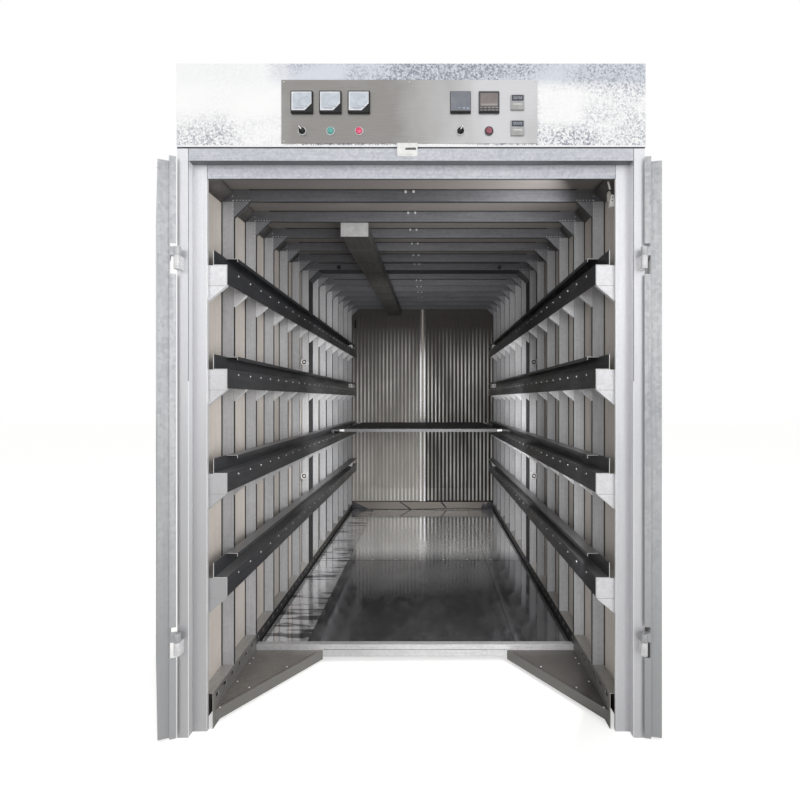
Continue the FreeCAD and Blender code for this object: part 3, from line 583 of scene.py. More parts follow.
def joined(shapes):
    """Several shapes as one: each shape's point numbers move up by the points that come before it."""
    starts = np.cumsum([0] + [len(shape.points) for shape in shapes[:-1]])
    corners = np.concatenate([shape.corners + start for shape, start in zip(shapes, starts)])
    points = np.concatenate([shape.points for shape in shapes])
    sizes = np.concatenate([shape.sizes for shape in shapes])
    return Shape(points, corners, sizes, np.concatenate([shape.finish for shape in shapes]))


def turned_to(points, direction):
    """Points whose z axis turns to a direction; x turns to a direction across it that is level where it can be."""
    ahead = np.asarray(direction, float)
    ahead = ahead / np.linalg.norm(ahead)
    side = np.cross((0, 0, 1), ahead) if abs(ahead[2]) < 0.9 else np.array((1.0, 0, 0))
    side = side / np.linalg.norm(side)
    return points @ np.array([side, np.cross(ahead, side), ahead])


def copies(shape, places, direction=(0, 0, 1)):
    """One shape at many places: its points, turned to a direction, plus each place."""
    places = np.asarray(places, float).reshape(-1, 3)
    points = (places[:, None, :] + turned_to(shape.points, direction)[None]).reshape(-1, 3)
    offsets = len(shape.points) * np.arange(len(places))
    corners = (shape.corners[None] + offsets[:, None]).ravel()
    return Shape(points, corners, np.tile(shape.sizes, len(places)), np.tile(shape.finish, len(places)))


def add_piece(name, shape, materials, body="chamber", smooth=True):
    """Puts a shape into a mesh object at the origin and lets it ride on a body."""
    mesh = bpy.data.meshes.new(name)
    mesh.vertices.add(len(shape.points))
    mesh.vertices.foreach_set("co", shape.points.astype(np.float32).ravel())
    mesh.loops.add(len(shape.corners))
    mesh.loops.foreach_set("vertex_index", shape.corners.astype(np.int32))
    mesh.polygons.add(len(shape.sizes))
    mesh.polygons.foreach_set("loop_start", np.cumsum(np.r_[0, shape.sizes[:-1]]).astype(np.int32))
    for material in materials:
        mesh.materials.append(material)
    mesh.polygons.foreach_set("material_index", shape.finish.astype(np.int32))
    mesh.update(calc_edges=True)
    mesh.validate()
    outwards = bmesh.new()
    outwards.from_mesh(mesh)
    bmesh.ops.recalc_face_normals(outwards, faces=outwards.faces)
    outwards.to_mesh(mesh)
    outwards.free()
    if smooth:
        mesh.shade_smooth()
        mesh.set_sharp_from_angle(angle=math.radians(35))
    piece = bpy.data.objects.new(name, mesh)
    bpy.context.scene.collection.objects.link(piece)
    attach(piece, body)
    print("made %s: %d faces" % (name, len(shape.sizes)))
    return piece


# %% [markdown]
# Two kinds of ring do nearly all the work. A turned part, such as a screw or a collar, has round
# rings whose radius and height follow a profile. A pressed or moulded box has rectangular rings
# with cut corners, and its first and last ring are drawn in by the edge's radius.

# %% Turned and boxed shapes
def turned(profile, around=16, finish=0):
    """Rings of radius r at height z for each (r, z) of the profile, in metres: (r cos a, r sin a, z)."""
    angle = np.arange(around) * 2 * np.pi / around
    radius, height = np.asarray(profile, float).T
    flat = radius[:, None, None] * np.stack([np.cos(angle), np.sin(angle)], -1)[None]
    heights = np.broadcast_to(height[:, None, None], flat.shape[:2] + (1,))
    return ringed(np.concatenate([flat, heights], -1), finish)


def boxed(low, high, edge=0.5 * MM, finish=0):
    """Box between two corners whose edges are cut by a width: eight-cornered rings, the end rings drawn in."""
    low, high = np.asarray(low, float), np.asarray(high, float)
    middle, half = (low + high) / 2, (high - low) / 2
    edge = min(edge, 0.4 * half.min())
    corner = np.array([(1, -1), (1, 1), (-1, 1), (-1, -1)])
    lengthwise_first = (corner[:, :1] * corner[:, 1:]) > 0
    rings = []
    for z, drawn in ((-half[2], edge), (-half[2] + edge, 0), (half[2] - edge, 0), (half[2], edge)):
        reach = half[:2] - drawn
        along, across = corner * (reach - (0, edge)), corner * (reach - (edge, 0))
        pair = np.stack([np.where(lengthwise_first, along, across), np.where(lengthwise_first, across, along)], 1)
        rings.append(np.column_stack([pair.reshape(-1, 2), np.full(8, z)]))
    return ringed(np.array(rings) + middle, finish)


def mirrored(shape):
    """The same shape on the other side of the chamber; its faces are turned outwards when it is added."""
    return shape._replace(points=shape.points * (-1, 1, 1))


def bar(start, end, width, height, finish=0):
    """Straight bar between two points; its width is level and its height stands across it."""
    start, end = np.asarray(start, float), np.asarray(end, float)
    length = np.linalg.norm(end - start)
    straight = boxed((-width / 2, -height / 2, 0), (width / 2, height / 2, length), 0.4 * MM, finish)
    return copies(straight, start, end - start)


def pressed(outline, back, front, edge=0.4 * MM, finish=0):
    """Flat plate of an (x, z) outline between two y values; its front ring is drawn in by an edge."""
    outline = np.asarray(outline, float)
    middle = outline.mean(0)
    drawn = middle + (outline - middle) * (1 - edge / np.linalg.norm(outline - middle, axis=1).max())
    step = edge if back > front else -edge
    places = ((outline, back), (outline, front + step), (drawn, front))
    return ringed([np.insert(ring, 1, y, axis=1) for ring, y in places], finish)


def on_both_sides(shape):
    """A shape of the left side together with its mirror image."""
    return joined([shape, mirrored(shape)])


def about_z(points, angle):
    """Points turned anticlockwise, seen from above: (x cos a - y sin a, x sin a + y cos a, z)."""
    cosine, sine = math.cos(angle), math.sin(angle)
    return points @ np.array([[cosine, sine, 0], [-sine, cosine, 0], [0, 0, 1]])


UP, FORWARD, BACKWARD, LEFT, RIGHT = (0, 0, 1), (0, -1, 0), (0, 1, 0), (-1, 0, 0), (1, 0, 0)


def add_fasteners(name, head, places, facing=UP, both_sides=False, body="chamber"):
    """Plated screws, rivets or bolts at many places, turned to face out of their sheet."""
    heads = copies(head, places, facing)
    return add_piece(name, on_both_sides(heads) if both_sides else heads, [plated_steel], body)


def add_line(name, shape, material=seal_rubber):
    """A thin strip, such as an open joint or a fold line, whose faces stay flat."""
    return add_piece(name, shape, [material], smooth=False)


# Heads for a diameter of 1: a cross-recessed pan head, a blind rivet and a hexagon bolt.
pan_profile = np.array([(0.5, -0.05), (0.5, 0.14), (0.38, 0.28), (0.2, 0.32), (0.14, 0.12)])
dome_profile = np.array([(0.5, -0.05), (0.46, 0.12), (0.3, 0.24), (0.1, 0.29)])
hexagon_profile = np.array([(0.5, -0.05), (0.5, 0.3), (0.42, 0.38), (0.1, 0.38)])
pan_screw = turned(8 * MM * pan_profile, 12)
small_screw = turned(5 * MM * pan_profile, 10)
rivet = turned(5 * MM * dome_profile, 8)
hexagon_bolt = turned(12 * MM * hexagon_profile, 6)
print("heads:", len(pan_screw.sizes), len(rivet.sizes), len(hexagon_bolt.sizes), "faces")

# %% [markdown]
# The door frame is bolted together from folded lengths, and the open joints between them read as
# thin dark lines: one under the header, one where each post meets the top member, and one at the
# inner corner of each post. White strips along the fold above the header's joint and along the
# lower folds of the posts are painted highlights, where the folds catch the light.

# %% Open joints of the door frame
HAIR = 0.2 * MM
LINE = 0.6 * MM
JOINT_FOOT = 1.3
member_low = corners_of("frame_top_member")[0]
head_low = corners_of("frame_head")[0]
header_low, header_high = corners_of("header_box")
jamb_y = depth(40)


def upright_line(x, y, left, right, foot, top, edge=HAIR):
    """Thin upright strip that lies on a face at y: its sides stand at x plus two millimetre values."""
    return boxed((x + left * MM, y - LINE, foot), (x + right * MM, y + LINE, top), edge)


header_joint = boxed((-wall_outer, front_y - LINE, header_foot - 4.5 * MM),
                     (wall_outer, front_y + LINE, header_foot + 0.5 * MM), HAIR)
post_joint = upright_line(member_low[0], front_y, -0.7, 0.7, JOINT_FOOT, header_foot - 5 * MM)
add_line("frame_joints", joined([header_joint, on_both_sides(post_joint)]))
# The white strip above the header's joint is a painted highlight on the fold.
header_fold_highlight = boxed((header_low[0], front_y - 0.9 * MM, header_foot + 1 * MM),
                    (header_high[0], front_y + LINE, header_foot + 7 * MM), 0.6 * MM)
add_piece("header_foot_painted_highlight", header_fold_highlight, [bright_plating_and_highlight])
# White strips on the posts' lower folds: painted highlights.
post_fold_highlights = joined([upright_line(member_low[0], front_y, -1.2, 1.2, 4 * MM, JOINT_FOOT, 0.3 * MM),
                     upright_line(head_low[0], jamb_y, -2, 0, 4 * MM, head_low[2], 0.3 * MM)])
add_piece("post_fold_highlights", on_both_sides(post_fold_highlights), [bright_plating_and_highlight])
head_line = upright_line(head_low[0], jamb_y, -0.6, 0.6, head_low[2], member_low[2])
add_line("head_corner_joints", on_both_sides(head_line))

# %% [markdown]
# A moving-iron meter has a square black frame, a white dial and a scale that bends round one
# corner, where the pointer turns. The dial's cover leaves that corner dark. All the flat parts
# are plates pressed from an outline, and the scale marks are short bars set round the corner.

# %% Meters
plate_low, plate_high = corners_of("control_plate")
plate_y = plate_low[1]
meter_low, meter_high = corners_of("ammeters")
meter_half = (meter_high[2] - meter_low[2]) / 2
meter_z = meter_low[2] + meter_half
meter_xs = np.linspace(meter_low[0] + meter_half, meter_high[0] - meter_half, 3)
meter_pitch = meter_xs[1] - meter_xs[0]


def outline_of(low_x, low_z, high_x, high_z, cut=0.0):
    """Corners of a rectangle, counted round, whose lower right corner may be cut off slantwise."""
    return [(low_x, low_z), (high_x - cut, low_z), (high_x, low_z + cut), (high_x, high_z), (low_x, high_z)]


def meter(x, z):
    """One meter, middle at x and z: finish 0 frame, 1 rim, 2 card, 3 marks."""
    left, right, foot, top = x - meter_half, x + meter_half, z - meter_half, z + meter_half
    frame_y, rim_y, card_y = plate_y - 10 * MM, plate_y - 12.5 * MM, plate_y - 13.2 * MM
    body = boxed((left, frame_y, foot), (right, plate_y + 1 * MM, top), 1.5 * MM, 0)
    rim_outline = outline_of(left + 3.6 * MM, foot + 8 * MM, right - 4 * MM, top - 5 * MM, 25 * MM)
    card_outline = outline_of(left + 8 * MM, foot + 12 * MM, right - 6 * MM, top - 9 * MM, 25 * MM)
    rim = pressed(rim_outline, frame_y + 1 * MM, rim_y, 1 * MM, 1)
    card = pressed(card_outline, rim_y + 1 * MM, card_y, 0.3 * MM, 2)
    pivot_x, pivot_z = right - 16 * MM, foot + 19 * MM

    def on_scale(reach, angle):
        """Point of the card at a reach in millimetres and an angle from the pivot."""
        return pivot_x + reach * MM * math.cos(angle), card_y, pivot_z + reach * MM * math.sin(angle)

    marks = [bar(on_scale(near, angle), on_scale(40, angle), 0.9 * MM, 0.8 * MM, 3)
             for near, angle in zip((32, 36) * 5, np.radians(np.linspace(95, 170, 10)))]
    needle_y = card_y - 0.4 * MM
    needle_tip = (pivot_x - 33 * MM, needle_y, pivot_z + 6 * MM)
    needle = bar((pivot_x, needle_y, pivot_z), needle_tip, 0.8 * MM, 0.8 * MM, 3)
    foot_line = boxed((x - 22 * MM, needle_y, z - 26 * MM), (x + 7 * MM, card_y + 0.4 * MM, z - 24 * MM), HAIR, 3)
    return joined([body, rim, card, needle, foot_line] + marks)


meter_finishes = [black_abs, dial_rim, dial_card, dial_print]
meters = add_piece("meter_set", joined([meter(x, meter_z) for x in meter_xs]), meter_finishes)
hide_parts("ammeters")

# %% [markdown]
# The two controllers are moulded cases behind flat fascias. One is slate grey with three pale keys
# at its lower right, the other has a dark frame, a taupe window and two rows of keys. Both have a
# dark grip bar along the foot. The two counters show pale figures in a smoked window.

# %% Controllers and counters
controller_low, controller_high = corners_of("temperature_controllers")
controller_width = 75 * MM
slate_x = controller_low[0] + controller_width / 2
taupe_x = controller_high[0] - controller_width / 2


def blocks_at(x, z, rows):
    """Boxes on the plate round x and z, in millimetres: left, foot, right, top, thickness, finish, edge."""
    return [boxed((x + left * MM, plate_y - thickness * MM, z + foot * MM),
                  (x + right * MM, plate_y + 1 * MM, z + top * MM), edge * MM, finish)
            for left, foot, right, top, thickness, finish, edge in rows]


SLATE_UNIT = [
    (-37.5, -40, 37.5, 40, 7.0, 0, 1.5), (-36, -32, 36.5, 38.5, 8.2, 1, 0.8), (-37, -39.5, 37, -32.5, 8.8, 0, 1.2),
    (-10, -23.5, 2, -20.5, 8.8, 2, 0.4), (9, -27, 16, -19, 8.8, 2, 0.4), (22, -27, 29, -19, 8.8, 2, 0.4),
    (-34, -30.5, 34, -29, 8.5, 3, 0.4),
] + [(-34, foot, -32, foot + 2.5, 8.5, 3, 0.4) for foot in range(-12, 34, 11)]
TAUPE_UNIT = [
    (-37.5, -40, 37.5, 40, 7.0, 4, 1.5), (-32, -17, 32, 32, 8.0, 5, 0.8), (-33, -33, 33, -18, 7.8, 4, 0.6),
    (-37, -39.5, 37, -33, 8.8, 0, 1.2), (-30, -12, 30, -7, 8.5, 6, 0.4),
] + [(left, foot, left + 10, foot + 3, 8.8, 6, 0.4) for foot in (-22.5, -31.5) for left in (-33, -19, -5, 9, 23)]
controller_blocks = blocks_at(slate_x, meter_z, SLATE_UNIT) + blocks_at(taupe_x, meter_z, TAUPE_UNIT)
controller_finishes = [black_abs, slate_abs, pale_key, dull_key, charcoal_abs, taupe_abs, dull_key]
controllers = add_piece("controller_pair", joined(controller_blocks), controller_finishes)
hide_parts("temperature_controllers")

counter_low, counter_high = corners_of("counters")
counter_x = (counter_low[0] + counter_high[0]) / 2
counter_half = 27.5 * MM
# Seven strokes of a figure: middle x and z and half sizes, in units of the figure's height.
STROKES = np.array([(0, 0.45, 0.2, 0.05), (0, 0, 0.2, 0.05), (0, -0.45, 0.2, 0.05), (-0.22, 0.23, 0.05, 0.2),
                    (0.22, 0.23, 0.05, 0.2), (-0.22, -0.23, 0.05, 0.2), (0.22, -0.23, 0.05, 0.2)])
FIGURES = {0: (0, 2, 3, 4, 5, 6), 2: (0, 1, 2, 4, 5), 5: (0, 1, 2, 3, 6), 8: (0, 1, 2, 3, 4, 5, 6)}


def figures(x, z, values, height, front, finish):
    """A row of seven-stroke figures of a height in metres, centred on x and z."""
    places = (np.arange(len(values)) - (len(values) - 1) / 2) * height * 0.72
    strokes = [(x + place + height * a, z + height * b, height * c, height * d)
               for place, value in zip(places, values) for a, b, c, d in STROKES[list(FIGURES[value])]]
    return joined([boxed((a - c, front, b - d), (a + c, front + 1 * MM, b + d), HAIR, finish)
                   for a, b, c, d in strokes])


COUNTER = [(-24.5, -27.5, 24.5, 27.5, 7.0, 0, 1.5), (-21.5, 4, 21.5, 25, 7.8, 1, 0.8),
           (-17, -13, 17, -4, 8.2, 2, 0.8), (-13, -9.5, 13, -7, 8.8, 3, 0.4)]
upper_z, lower_z = counter_high[2] - counter_half, counter_low[2] + counter_half
counter_parts = []
for z, values in ((upper_z, (0, 0, 2, 5, 8)), (lower_z, (0, 5, 0, 2, 0))):
    counter_parts += blocks_at(counter_x, z, COUNTER)
    counter_parts.append(figures(counter_x, z + 14.5 * MM, values, 9 * MM, plate_y - 8.6 * MM, 3))
counter_finishes = [grey_abs, dark_window, pale_abs, lit_digit]
counters = add_piece("counter_pair", joined(counter_parts), counter_finishes)
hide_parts("counters")

# %% [markdown]
# Panel switches are turned parts in a plated bezel: a selector is a black disc with a grip bar and
# a white pointer, a push button a domed cap. Rings round an axis make the round parts, and each is
# turned to face the doorway. The pointers stand 40 degrees to the left and to the right.

# %% Selectors, buttons and lamp
selector_low, selector_high = corners_of("selector_switches")
button_low, button_high = corners_of("push_buttons")
bezel_radius = 16 * MM
switch_z = (selector_low[2] + selector_high[2]) / 2
bezel = turned(np.array([(15.8, -1), (16, 1), (15.4, 3.4), (13.8, 4.6), (12.4, 4.2), (12.2, 1)]) * MM, 28, 0)
rimmed = turned(np.array([(15.8, -1), (16, 4), (15.2, 6.5), (13.4, 7.2), (12.6, 6.4), (12.4, 3)]) * MM, 28, 3)
domed_cap = turned(np.array([(11.8, 1), (11.8, 7), (10.8, 9.2), (7.5, 10.8), (3.5, 11.6), (1.0, 11.7)]) * MM, 24)


def selector(lean):
    """Disc, grip bar and pointer before they are turned to face out; lean turns the grip, in degrees."""
    disc = turned(np.array([(12, 1), (12, 6.5), (11, 8), (2, 8.2)]) * MM, 24, 1)
    grip = boxed((-4.5 * MM, -11.5 * MM, 7 * MM), (4.5 * MM, 11.5 * MM, 19 * MM), 1.6 * MM, 1)
    pointer = boxed((-2 * MM, 0, 18 * MM), (2 * MM, 14 * MM, 20 * MM), 0.3 * MM, 2)
    leaning = [shape._replace(points=about_z(shape.points, math.radians(lean))) for shape in (grip, pointer)]
    return joined([bezel, disc] + leaning)


def at_plate(shape, x):
    """A round control turned to face out of the plate, in the lower row."""
    return copies(shape, (x, plate_y, switch_z), FORWARD)


selectors = joined([at_plate(selector(40), selector_low[0] + bezel_radius),
                    at_plate(selector(-35), selector_high[0] - bezel_radius)])
selector_finishes = [plated_steel, black_abs, white_pointer]
selector_piece = add_piece("selector_pair", selectors, selector_finishes)
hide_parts("selector_switches")

green_x = button_low[0] + bezel_radius
lamp_x = button_high[0] - bezel_radius
buttons = []
for rim, x, colour_number in ((bezel, green_x, 1), (bezel, green_x + meter_pitch, 2), (rimmed, lamp_x, 4)):
    buttons += [at_plate(rim, x), at_plate(domed_cap._replace(finish=domed_cap.finish + colour_number), x)]
button_finishes = [plated_steel, green_cap, red_cap, charcoal_abs, lamp_cap]
button_piece = add_piece("button_set", joined(buttons), button_finishes)
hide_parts("push_buttons")

plate_middle = (plate_low[0] + plate_high[0]) / 2
plate_screws = [(x, plate_y, z) for x in (plate_low[0] + 9 * MM, plate_middle, plate_high[0] - 9 * MM)
                for z in (plate_low[2] + 8 * MM, plate_high[2] - 8 * MM)]
add_fasteners("plate_screws", small_screw, plate_screws, FORWARD)

# %% [markdown]
# Every rib is pop-riveted to its haunches: a row runs up the inner edge of the upright's face and
# another along the foot of the bow's face. A pair of bolts near the middle of each bow holds its
# lap joint. A dark bead fills the corner between each rib and the panels: sealant, and painted
# shade for that corner.

# %% Rivets, bolts and dark corner beads of the ribs
ceiling_at_ribs = ceiling(rib_fronts)
upright_rows = [(-rib_inner - 5 * MM, y, top - drop * MM) for y, top in zip(rib_fronts, ceiling_at_ribs)
                for drop in range(28, 128, 18)]
bow_rows = [(-rib_inner + step * MM, y, top - bow_depth + 5 * MM) for y, top in zip(rib_fronts, ceiling_at_ribs)
            for step in range(0, 66, 13)]
add_fasteners("rib_rivets", rivet, upright_rows + bow_rows, FORWARD, both_sides=True)
bow_bolts = [(x * MM, y, top - 9 * MM) for y, top in zip(rib_fronts, ceiling_at_ribs) for x in (-32, 1)]
add_fasteners("bow_bolts", hexagon_bolt, bow_bolts, FORWARD)
BEAD = 4 * MM
HAUNCH = 65 * MM
sill_top = corners_of("sill_channels")[1][2]
wall_corner_beads, ceiling_beads = [], []
# Dark beads in the corners: sealant, and painted shade for the corner.
for y, top in zip(rib_fronts, ceiling_at_ribs):
    wall_corner_beads.append(boxed((-wall_inner - HAIR, y - BEAD, sill_top),
                            (-wall_inner + BEAD, y + HAIR, top - bow_depth), 1.2 * MM))
    ceiling_beads.append(boxed((-rib_inner + HAUNCH, y - BEAD, top - BEAD),
                               (rib_inner - HAUNCH, y + HAIR, top + HAIR), 1.2 * MM))
sealant_and_shade_beads = joined([on_both_sides(joined(wall_corner_beads))] + ceiling_beads)
add_piece("rib_sealant_and_shade", sealant_and_shade_beads, [seal_rubber])
bumper = turned(np.array([(13, -0.5), (13, 8), (11.5, 10.5), (6, 11.5), (2, 11)]) * MM, 20)
bumpers = [(side * 540 * MM, rib_fronts[joint_bay - 1], 2122 * MM) for side in (-1, 1)]
add_piece("joint_bumpers", copies(bumper, bumpers, FORWARD), [seal_rubber])

# %% [markdown]
# A folded cove closes the corner between wall and ceiling in every bay. It is a strip of the same
# sheet as the roof panels, set at 45 degrees.

# %% Corner coves
COVE = 45 * MM
bay_starts = np.r_[depth(56), rib_fronts[:-1] + rib_width + 1 * MM]
bay_starts[joint_bay] = corners_of("module_seal")[1][1] + 1 * MM
COVE_FOOT = 12 * MM
COVE_THICKNESS = 3 * MM
cove_wall, cove_ceiling = -wall_inner + 0.5 * MM, -wall_inner + COVE
coves = []
for start, end in zip(bay_starts, rib_fronts - 1 * MM):
    rings = []
    for y in (start, end):
        low = ceiling(y) - COVE_FOOT
        high = low + COVE_THICKNESS
        rings.append([(cove_wall, y, low - COVE), (cove_ceiling, y, low),
                      (cove_ceiling, y, high), (cove_wall, y, high - COVE)])
    coves.append(ringed(rings))
add_line("corner_coves", on_both_sides(joined(coves)), shaded_cove_zinc)

# %% [markdown]
# Pan-head screws hold the rails to their brackets, one about every 150 mm along each apron. At the
# rear a small block with a bolt stops the rollers in each rail but the carrier's; the block is
# white, a painted highlight where light falls at the rail's end. Each bracket is folded where its
# gusset starts, and the fold shows as a fine darker line: painted shade in the crease.

# %% Rail screws, end stops and bracket folds
apron_x = corners_of("left_rail_1")[1][0]
screw_ys = depth(180) + 150 * MM * np.arange(25)
apron_screws = [(apron_x, y, seat - 15 * MM) for seat in rail_seats for y in screw_ys]
add_fasteners("rail_screws", pan_screw, apron_screws, RIGHT, both_sides=True)
CARRIER_LEVEL = 3
stop_seats = np.delete(rail_seats, CARRIER_LEVEL - 1)
# White blocks: a painted highlight where light falls at each rail's end.
end_stops = [boxed((-738 * MM, depth(3600), seat + 1.5 * MM), (-699 * MM, depth(3640), seat + 48 * MM), 5 * MM)
             for seat in stop_seats]
stop_bolts = [(-716 * MM, depth(3600), seat + 26 * MM) for seat in stop_seats]
stops = joined(end_stops + [copies(turned(11 * MM * hexagon_profile, 6, 1), stop_bolts, FORWARD)])
add_piece("rail_end_stops", on_both_sides(stops), [bright_plating_and_highlight, black_abs])
bracket_y = depth(55)
# A fine darker line at each bracket's fold: painted shade in the crease.
bracket_fold_shade = [boxed((-791 * MM, bracket_y - LINE, seat - 77 * MM),
                       (-693 * MM, bracket_y + LINE, seat - 75.6 * MM), HAIR) for seat in rail_seats]
add_line("bracket_fold_shade", on_both_sides(joined(bracket_fold_shade)), beige_abs)

# %% [markdown]
# The limit switch tells when the doors are shut. It has a white tapered body with two screws, a
# dark ring, a beige arm behind it and a thin white stem that leans inwards.

# %% Limit switch
switch_y, foot_z = corners_of("limit_switch")[0][1:]


def by_switch(x, behind, above):
    """Point at x, behind the switch's front and above its foot, all in millimetres."""
    return x * MM, switch_y + behind * MM, foot_z + above * MM


body_outline = np.array([(750.5, 0), (768.5, 0), (767, 20), (763.5, 45.5), (755.5, 45.5), (751.5, 20)]) * MM
arm_outline = np.array([(742, 20), (756, 20), (757, 50), (753, 60), (746, 60), (741.5, 48)]) * MM
ring_below = turned(np.array([(7, 0), (7.5, 2), (7, 5)]) * MM, 16, 2)
ring_above = turned(np.array([(5, 0), (5.5, 3), (4, 6)]) * MM, 16, 2)
body_screw = turned(4.5 * MM * pan_profile, 10, 2)
switch_parts = joined([
    pressed(body_outline + (0, foot_z), switch_y + 20 * MM, switch_y, 1.5 * MM, 0),
    pressed(arm_outline + (0, foot_z), switch_y + 16 * MM, switch_y + 6 * MM, 1 * MM, 1),
    copies(ring_below, by_switch(750, 10, 60)), copies(ring_above, by_switch(763.5, 9, 45.5)),
    bar(by_switch(753.5, 10, 66), by_switch(745.5, 10, 97), 5.5 * MM, 5.5 * MM, 0),
    copies(body_screw, [by_switch(758.5, 0, 22), by_switch(758.5, 0, 34)], FORWARD),
    boxed(by_switch(756, 4, 4), by_switch(791.5, 16, 40), 1 * MM, 2),
])
switch_finishes = [white_abs, beige_abs, seal_rubber]
switch_piece = add_piece("limit_switch_dressed", switch_parts, switch_finishes)
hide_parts("limit_switch")

# %% [markdown]
# The doorway floor steps down to a corner plate on each side. Screws hold the plates to the sills,
# a fold line follows their slanting edge, and the nosing between them has a fold of its own; each
# fold is drawn as a dark line of painted shade. The floor sheets lap in two long strips, so a seam
# runs along each side.

# %% Fasteners and seams of the floor
entry_top = corners_of("entry_plates")[1][2]
nosing_low, nosing_high = corners_of("floor_nosing")
floor_rear, floor_top = corners_of("floor_panels")[1][1:]
plate_tip = np.array([-742 * MM, depth(70), entry_top])
plate_end = np.array([-430 * MM, depth(587), entry_top])
slant = (plate_end - plate_tip) / np.linalg.norm(plate_end - plate_tip)
inward = np.array([-slant[1], slant[0], 0])
square_screws = [(-730 * MM, y, entry_top) for y in depth(np.array([90, 290, 450, 505]))]
slant_screws = [plate_tip + slant * length * MM + inward * 22 * MM for length in (185, 395)]
add_fasteners("entry_plate_screws", pan_screw, square_screws + slant_screws, both_sides=True)
fold_start, fold_end = (plate_tip + slant * near + inward * 12 * MM for near in (40 * MM, 575 * MM))
# Dark lines along the folds: painted shade in the crease.
entry_fold_shade = bar(fold_start, fold_end, 1.6 * MM, 1.2 * MM)
add_line("entry_plate_fold_shade", on_both_sides(entry_fold_shade))
nosing_shade_line = boxed((-430 * MM, nosing_low[1] - LINE, 63.7 * MM), (430 * MM, nosing_low[1] + LINE, 65.2 * MM), HAIR)
add_line("nosing_fold_shade", nosing_shade_line)


def floor_strip(left, right, near_y, far_y):
    """Thin strip in the floor's surface between two x values in millimetres."""
    return boxed((left * MM, near_y, floor_top - LINE), (right * MM, far_y, floor_top + LINE), HAIR)


lap_seams = [floor_strip(left, right, nosing_high[1], floor_rear)
             for left, right in ((-511, -509), (469, 471), (-741, -730), (730, 741))]
add_line("floor_lap_seams", joined(lap_seams), black_gap)
seam_y = depth(1990)
add_line("floor_cross_seam", floor_strip(-741, 741, seam_y - 1 * MM, seam_y + 1 * MM), black_gap)
seam_screws = [(x, y, floor_top) for y in (depth(2010), depth(3860)) for x in np.linspace(-680, 680, 9) * MM]
add_fasteners("floor_screws", pan_screw, seam_screws)

# %% [markdown]
# The floor stands on three bearers. They stop short of the doorway, behind the nosing.

# %% Floor bearers
bearer_low, bearer_high = corners_of("floor_bearers")
bearer_half = 30 * MM
bearers = [boxed((x - bearer_half, depth(672), bearer_low[2]), (x + bearer_half, *bearer_high[1:]), 1 * MM)
           for x in (bearer_low[0] + bearer_half, 0, bearer_high[0] - bearer_half)]
bearer_piece = add_piece("bearer_set", joined(bearers), [plain_rib])
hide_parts("floor_bearers")

# %% [markdown]
# At the rear the kick plate is cut slantwise at both ends and lapped from three lengths, so dark
# gaps show between them. A dark plate over each slanting end is painted shadow. A thin black slot
# near the lining's upper left corner takes a clip.

# %% Kick plate laps and lining slot
kick_y = corners_of("rear_trims")[0][1]
kick_face = kick_y - 1 * MM
kick_foot, kick_top = 85 * MM, 163 * MM
# Dark plates over the slanting ends: painted shadow.
left_end_shadow = [(-742 * MM, kick_foot), (-551 * MM, kick_foot), (-718 * MM, kick_top), (-742 * MM, kick_top)]
right_end_shadow = [(601 * MM, kick_foot), (741 * MM, kick_foot), (741 * MM, kick_top), (643 * MM, kick_top)]
right_corner = [(640 * MM, kick_top - 34 * MM), (700 * MM, kick_top), (645 * MM, kick_top)]
kick_parts = joined([
    pressed(left_end_shadow, kick_y + 1 * MM, kick_face, 0.3 * MM, 0),
    pressed(right_end_shadow, kick_y + 1 * MM, kick_face, 0.3 * MM, 0),
    pressed(right_corner, kick_y, kick_y - 2 * MM, 0.3 * MM, 1),
    bar((-237 * MM, kick_face, kick_top), (-121 * MM, kick_face, kick_foot), 2 * MM, 9 * MM, 2),
    bar((193 * MM, kick_face, kick_top), (245 * MM, kick_face, kick_foot + 18 * MM), 2 * MM, 12 * MM, 2),
])
kick_finishes = [charcoal_abs, trim_zinc, black_gap]
add_piece("kick_plate_laps_and_end_shadows", kick_parts, kick_finishes, smooth=False)
lap_foot = np.array([(-551, 87), (-110, 86), (120, 91), (245, 94), (420, 97), (600, 92)]) * MM
gap_line = [bar((x0, kick_face, z0), (x1, kick_face, z1), 2 * MM, 5 * MM)
            for (x0, z0), (x1, z1) in zip(lap_foot, lap_foot[1:])]
add_line("kick_plate_gap", joined(gap_line), black_gap)
lining_y = corners_of("rear_lining")[0][1]
clip_slot = boxed((-714 * MM, lining_y - 1 * MM, 1985 * MM), (-700 * MM, lining_y + 4 * MM, 2070 * MM), 0.5 * MM)
add_line("lining_clip_slot", clip_slot, black_gap)
kick_line = boxed((-741 * MM, kick_y - LINE, kick_top), (741 * MM, kick_y + 2 * MM, kick_top + 6 * MM), 0.4 * MM)
add_line("kick_plate_head_line", kick_line, black_gap)

# %% [markdown]
# The trunking under the ceiling is closed with a pale cap at the doorway end and held by straps.
# The cups round the joint bolts are deep, and a near-black disc on each cup's floor is painted shade.

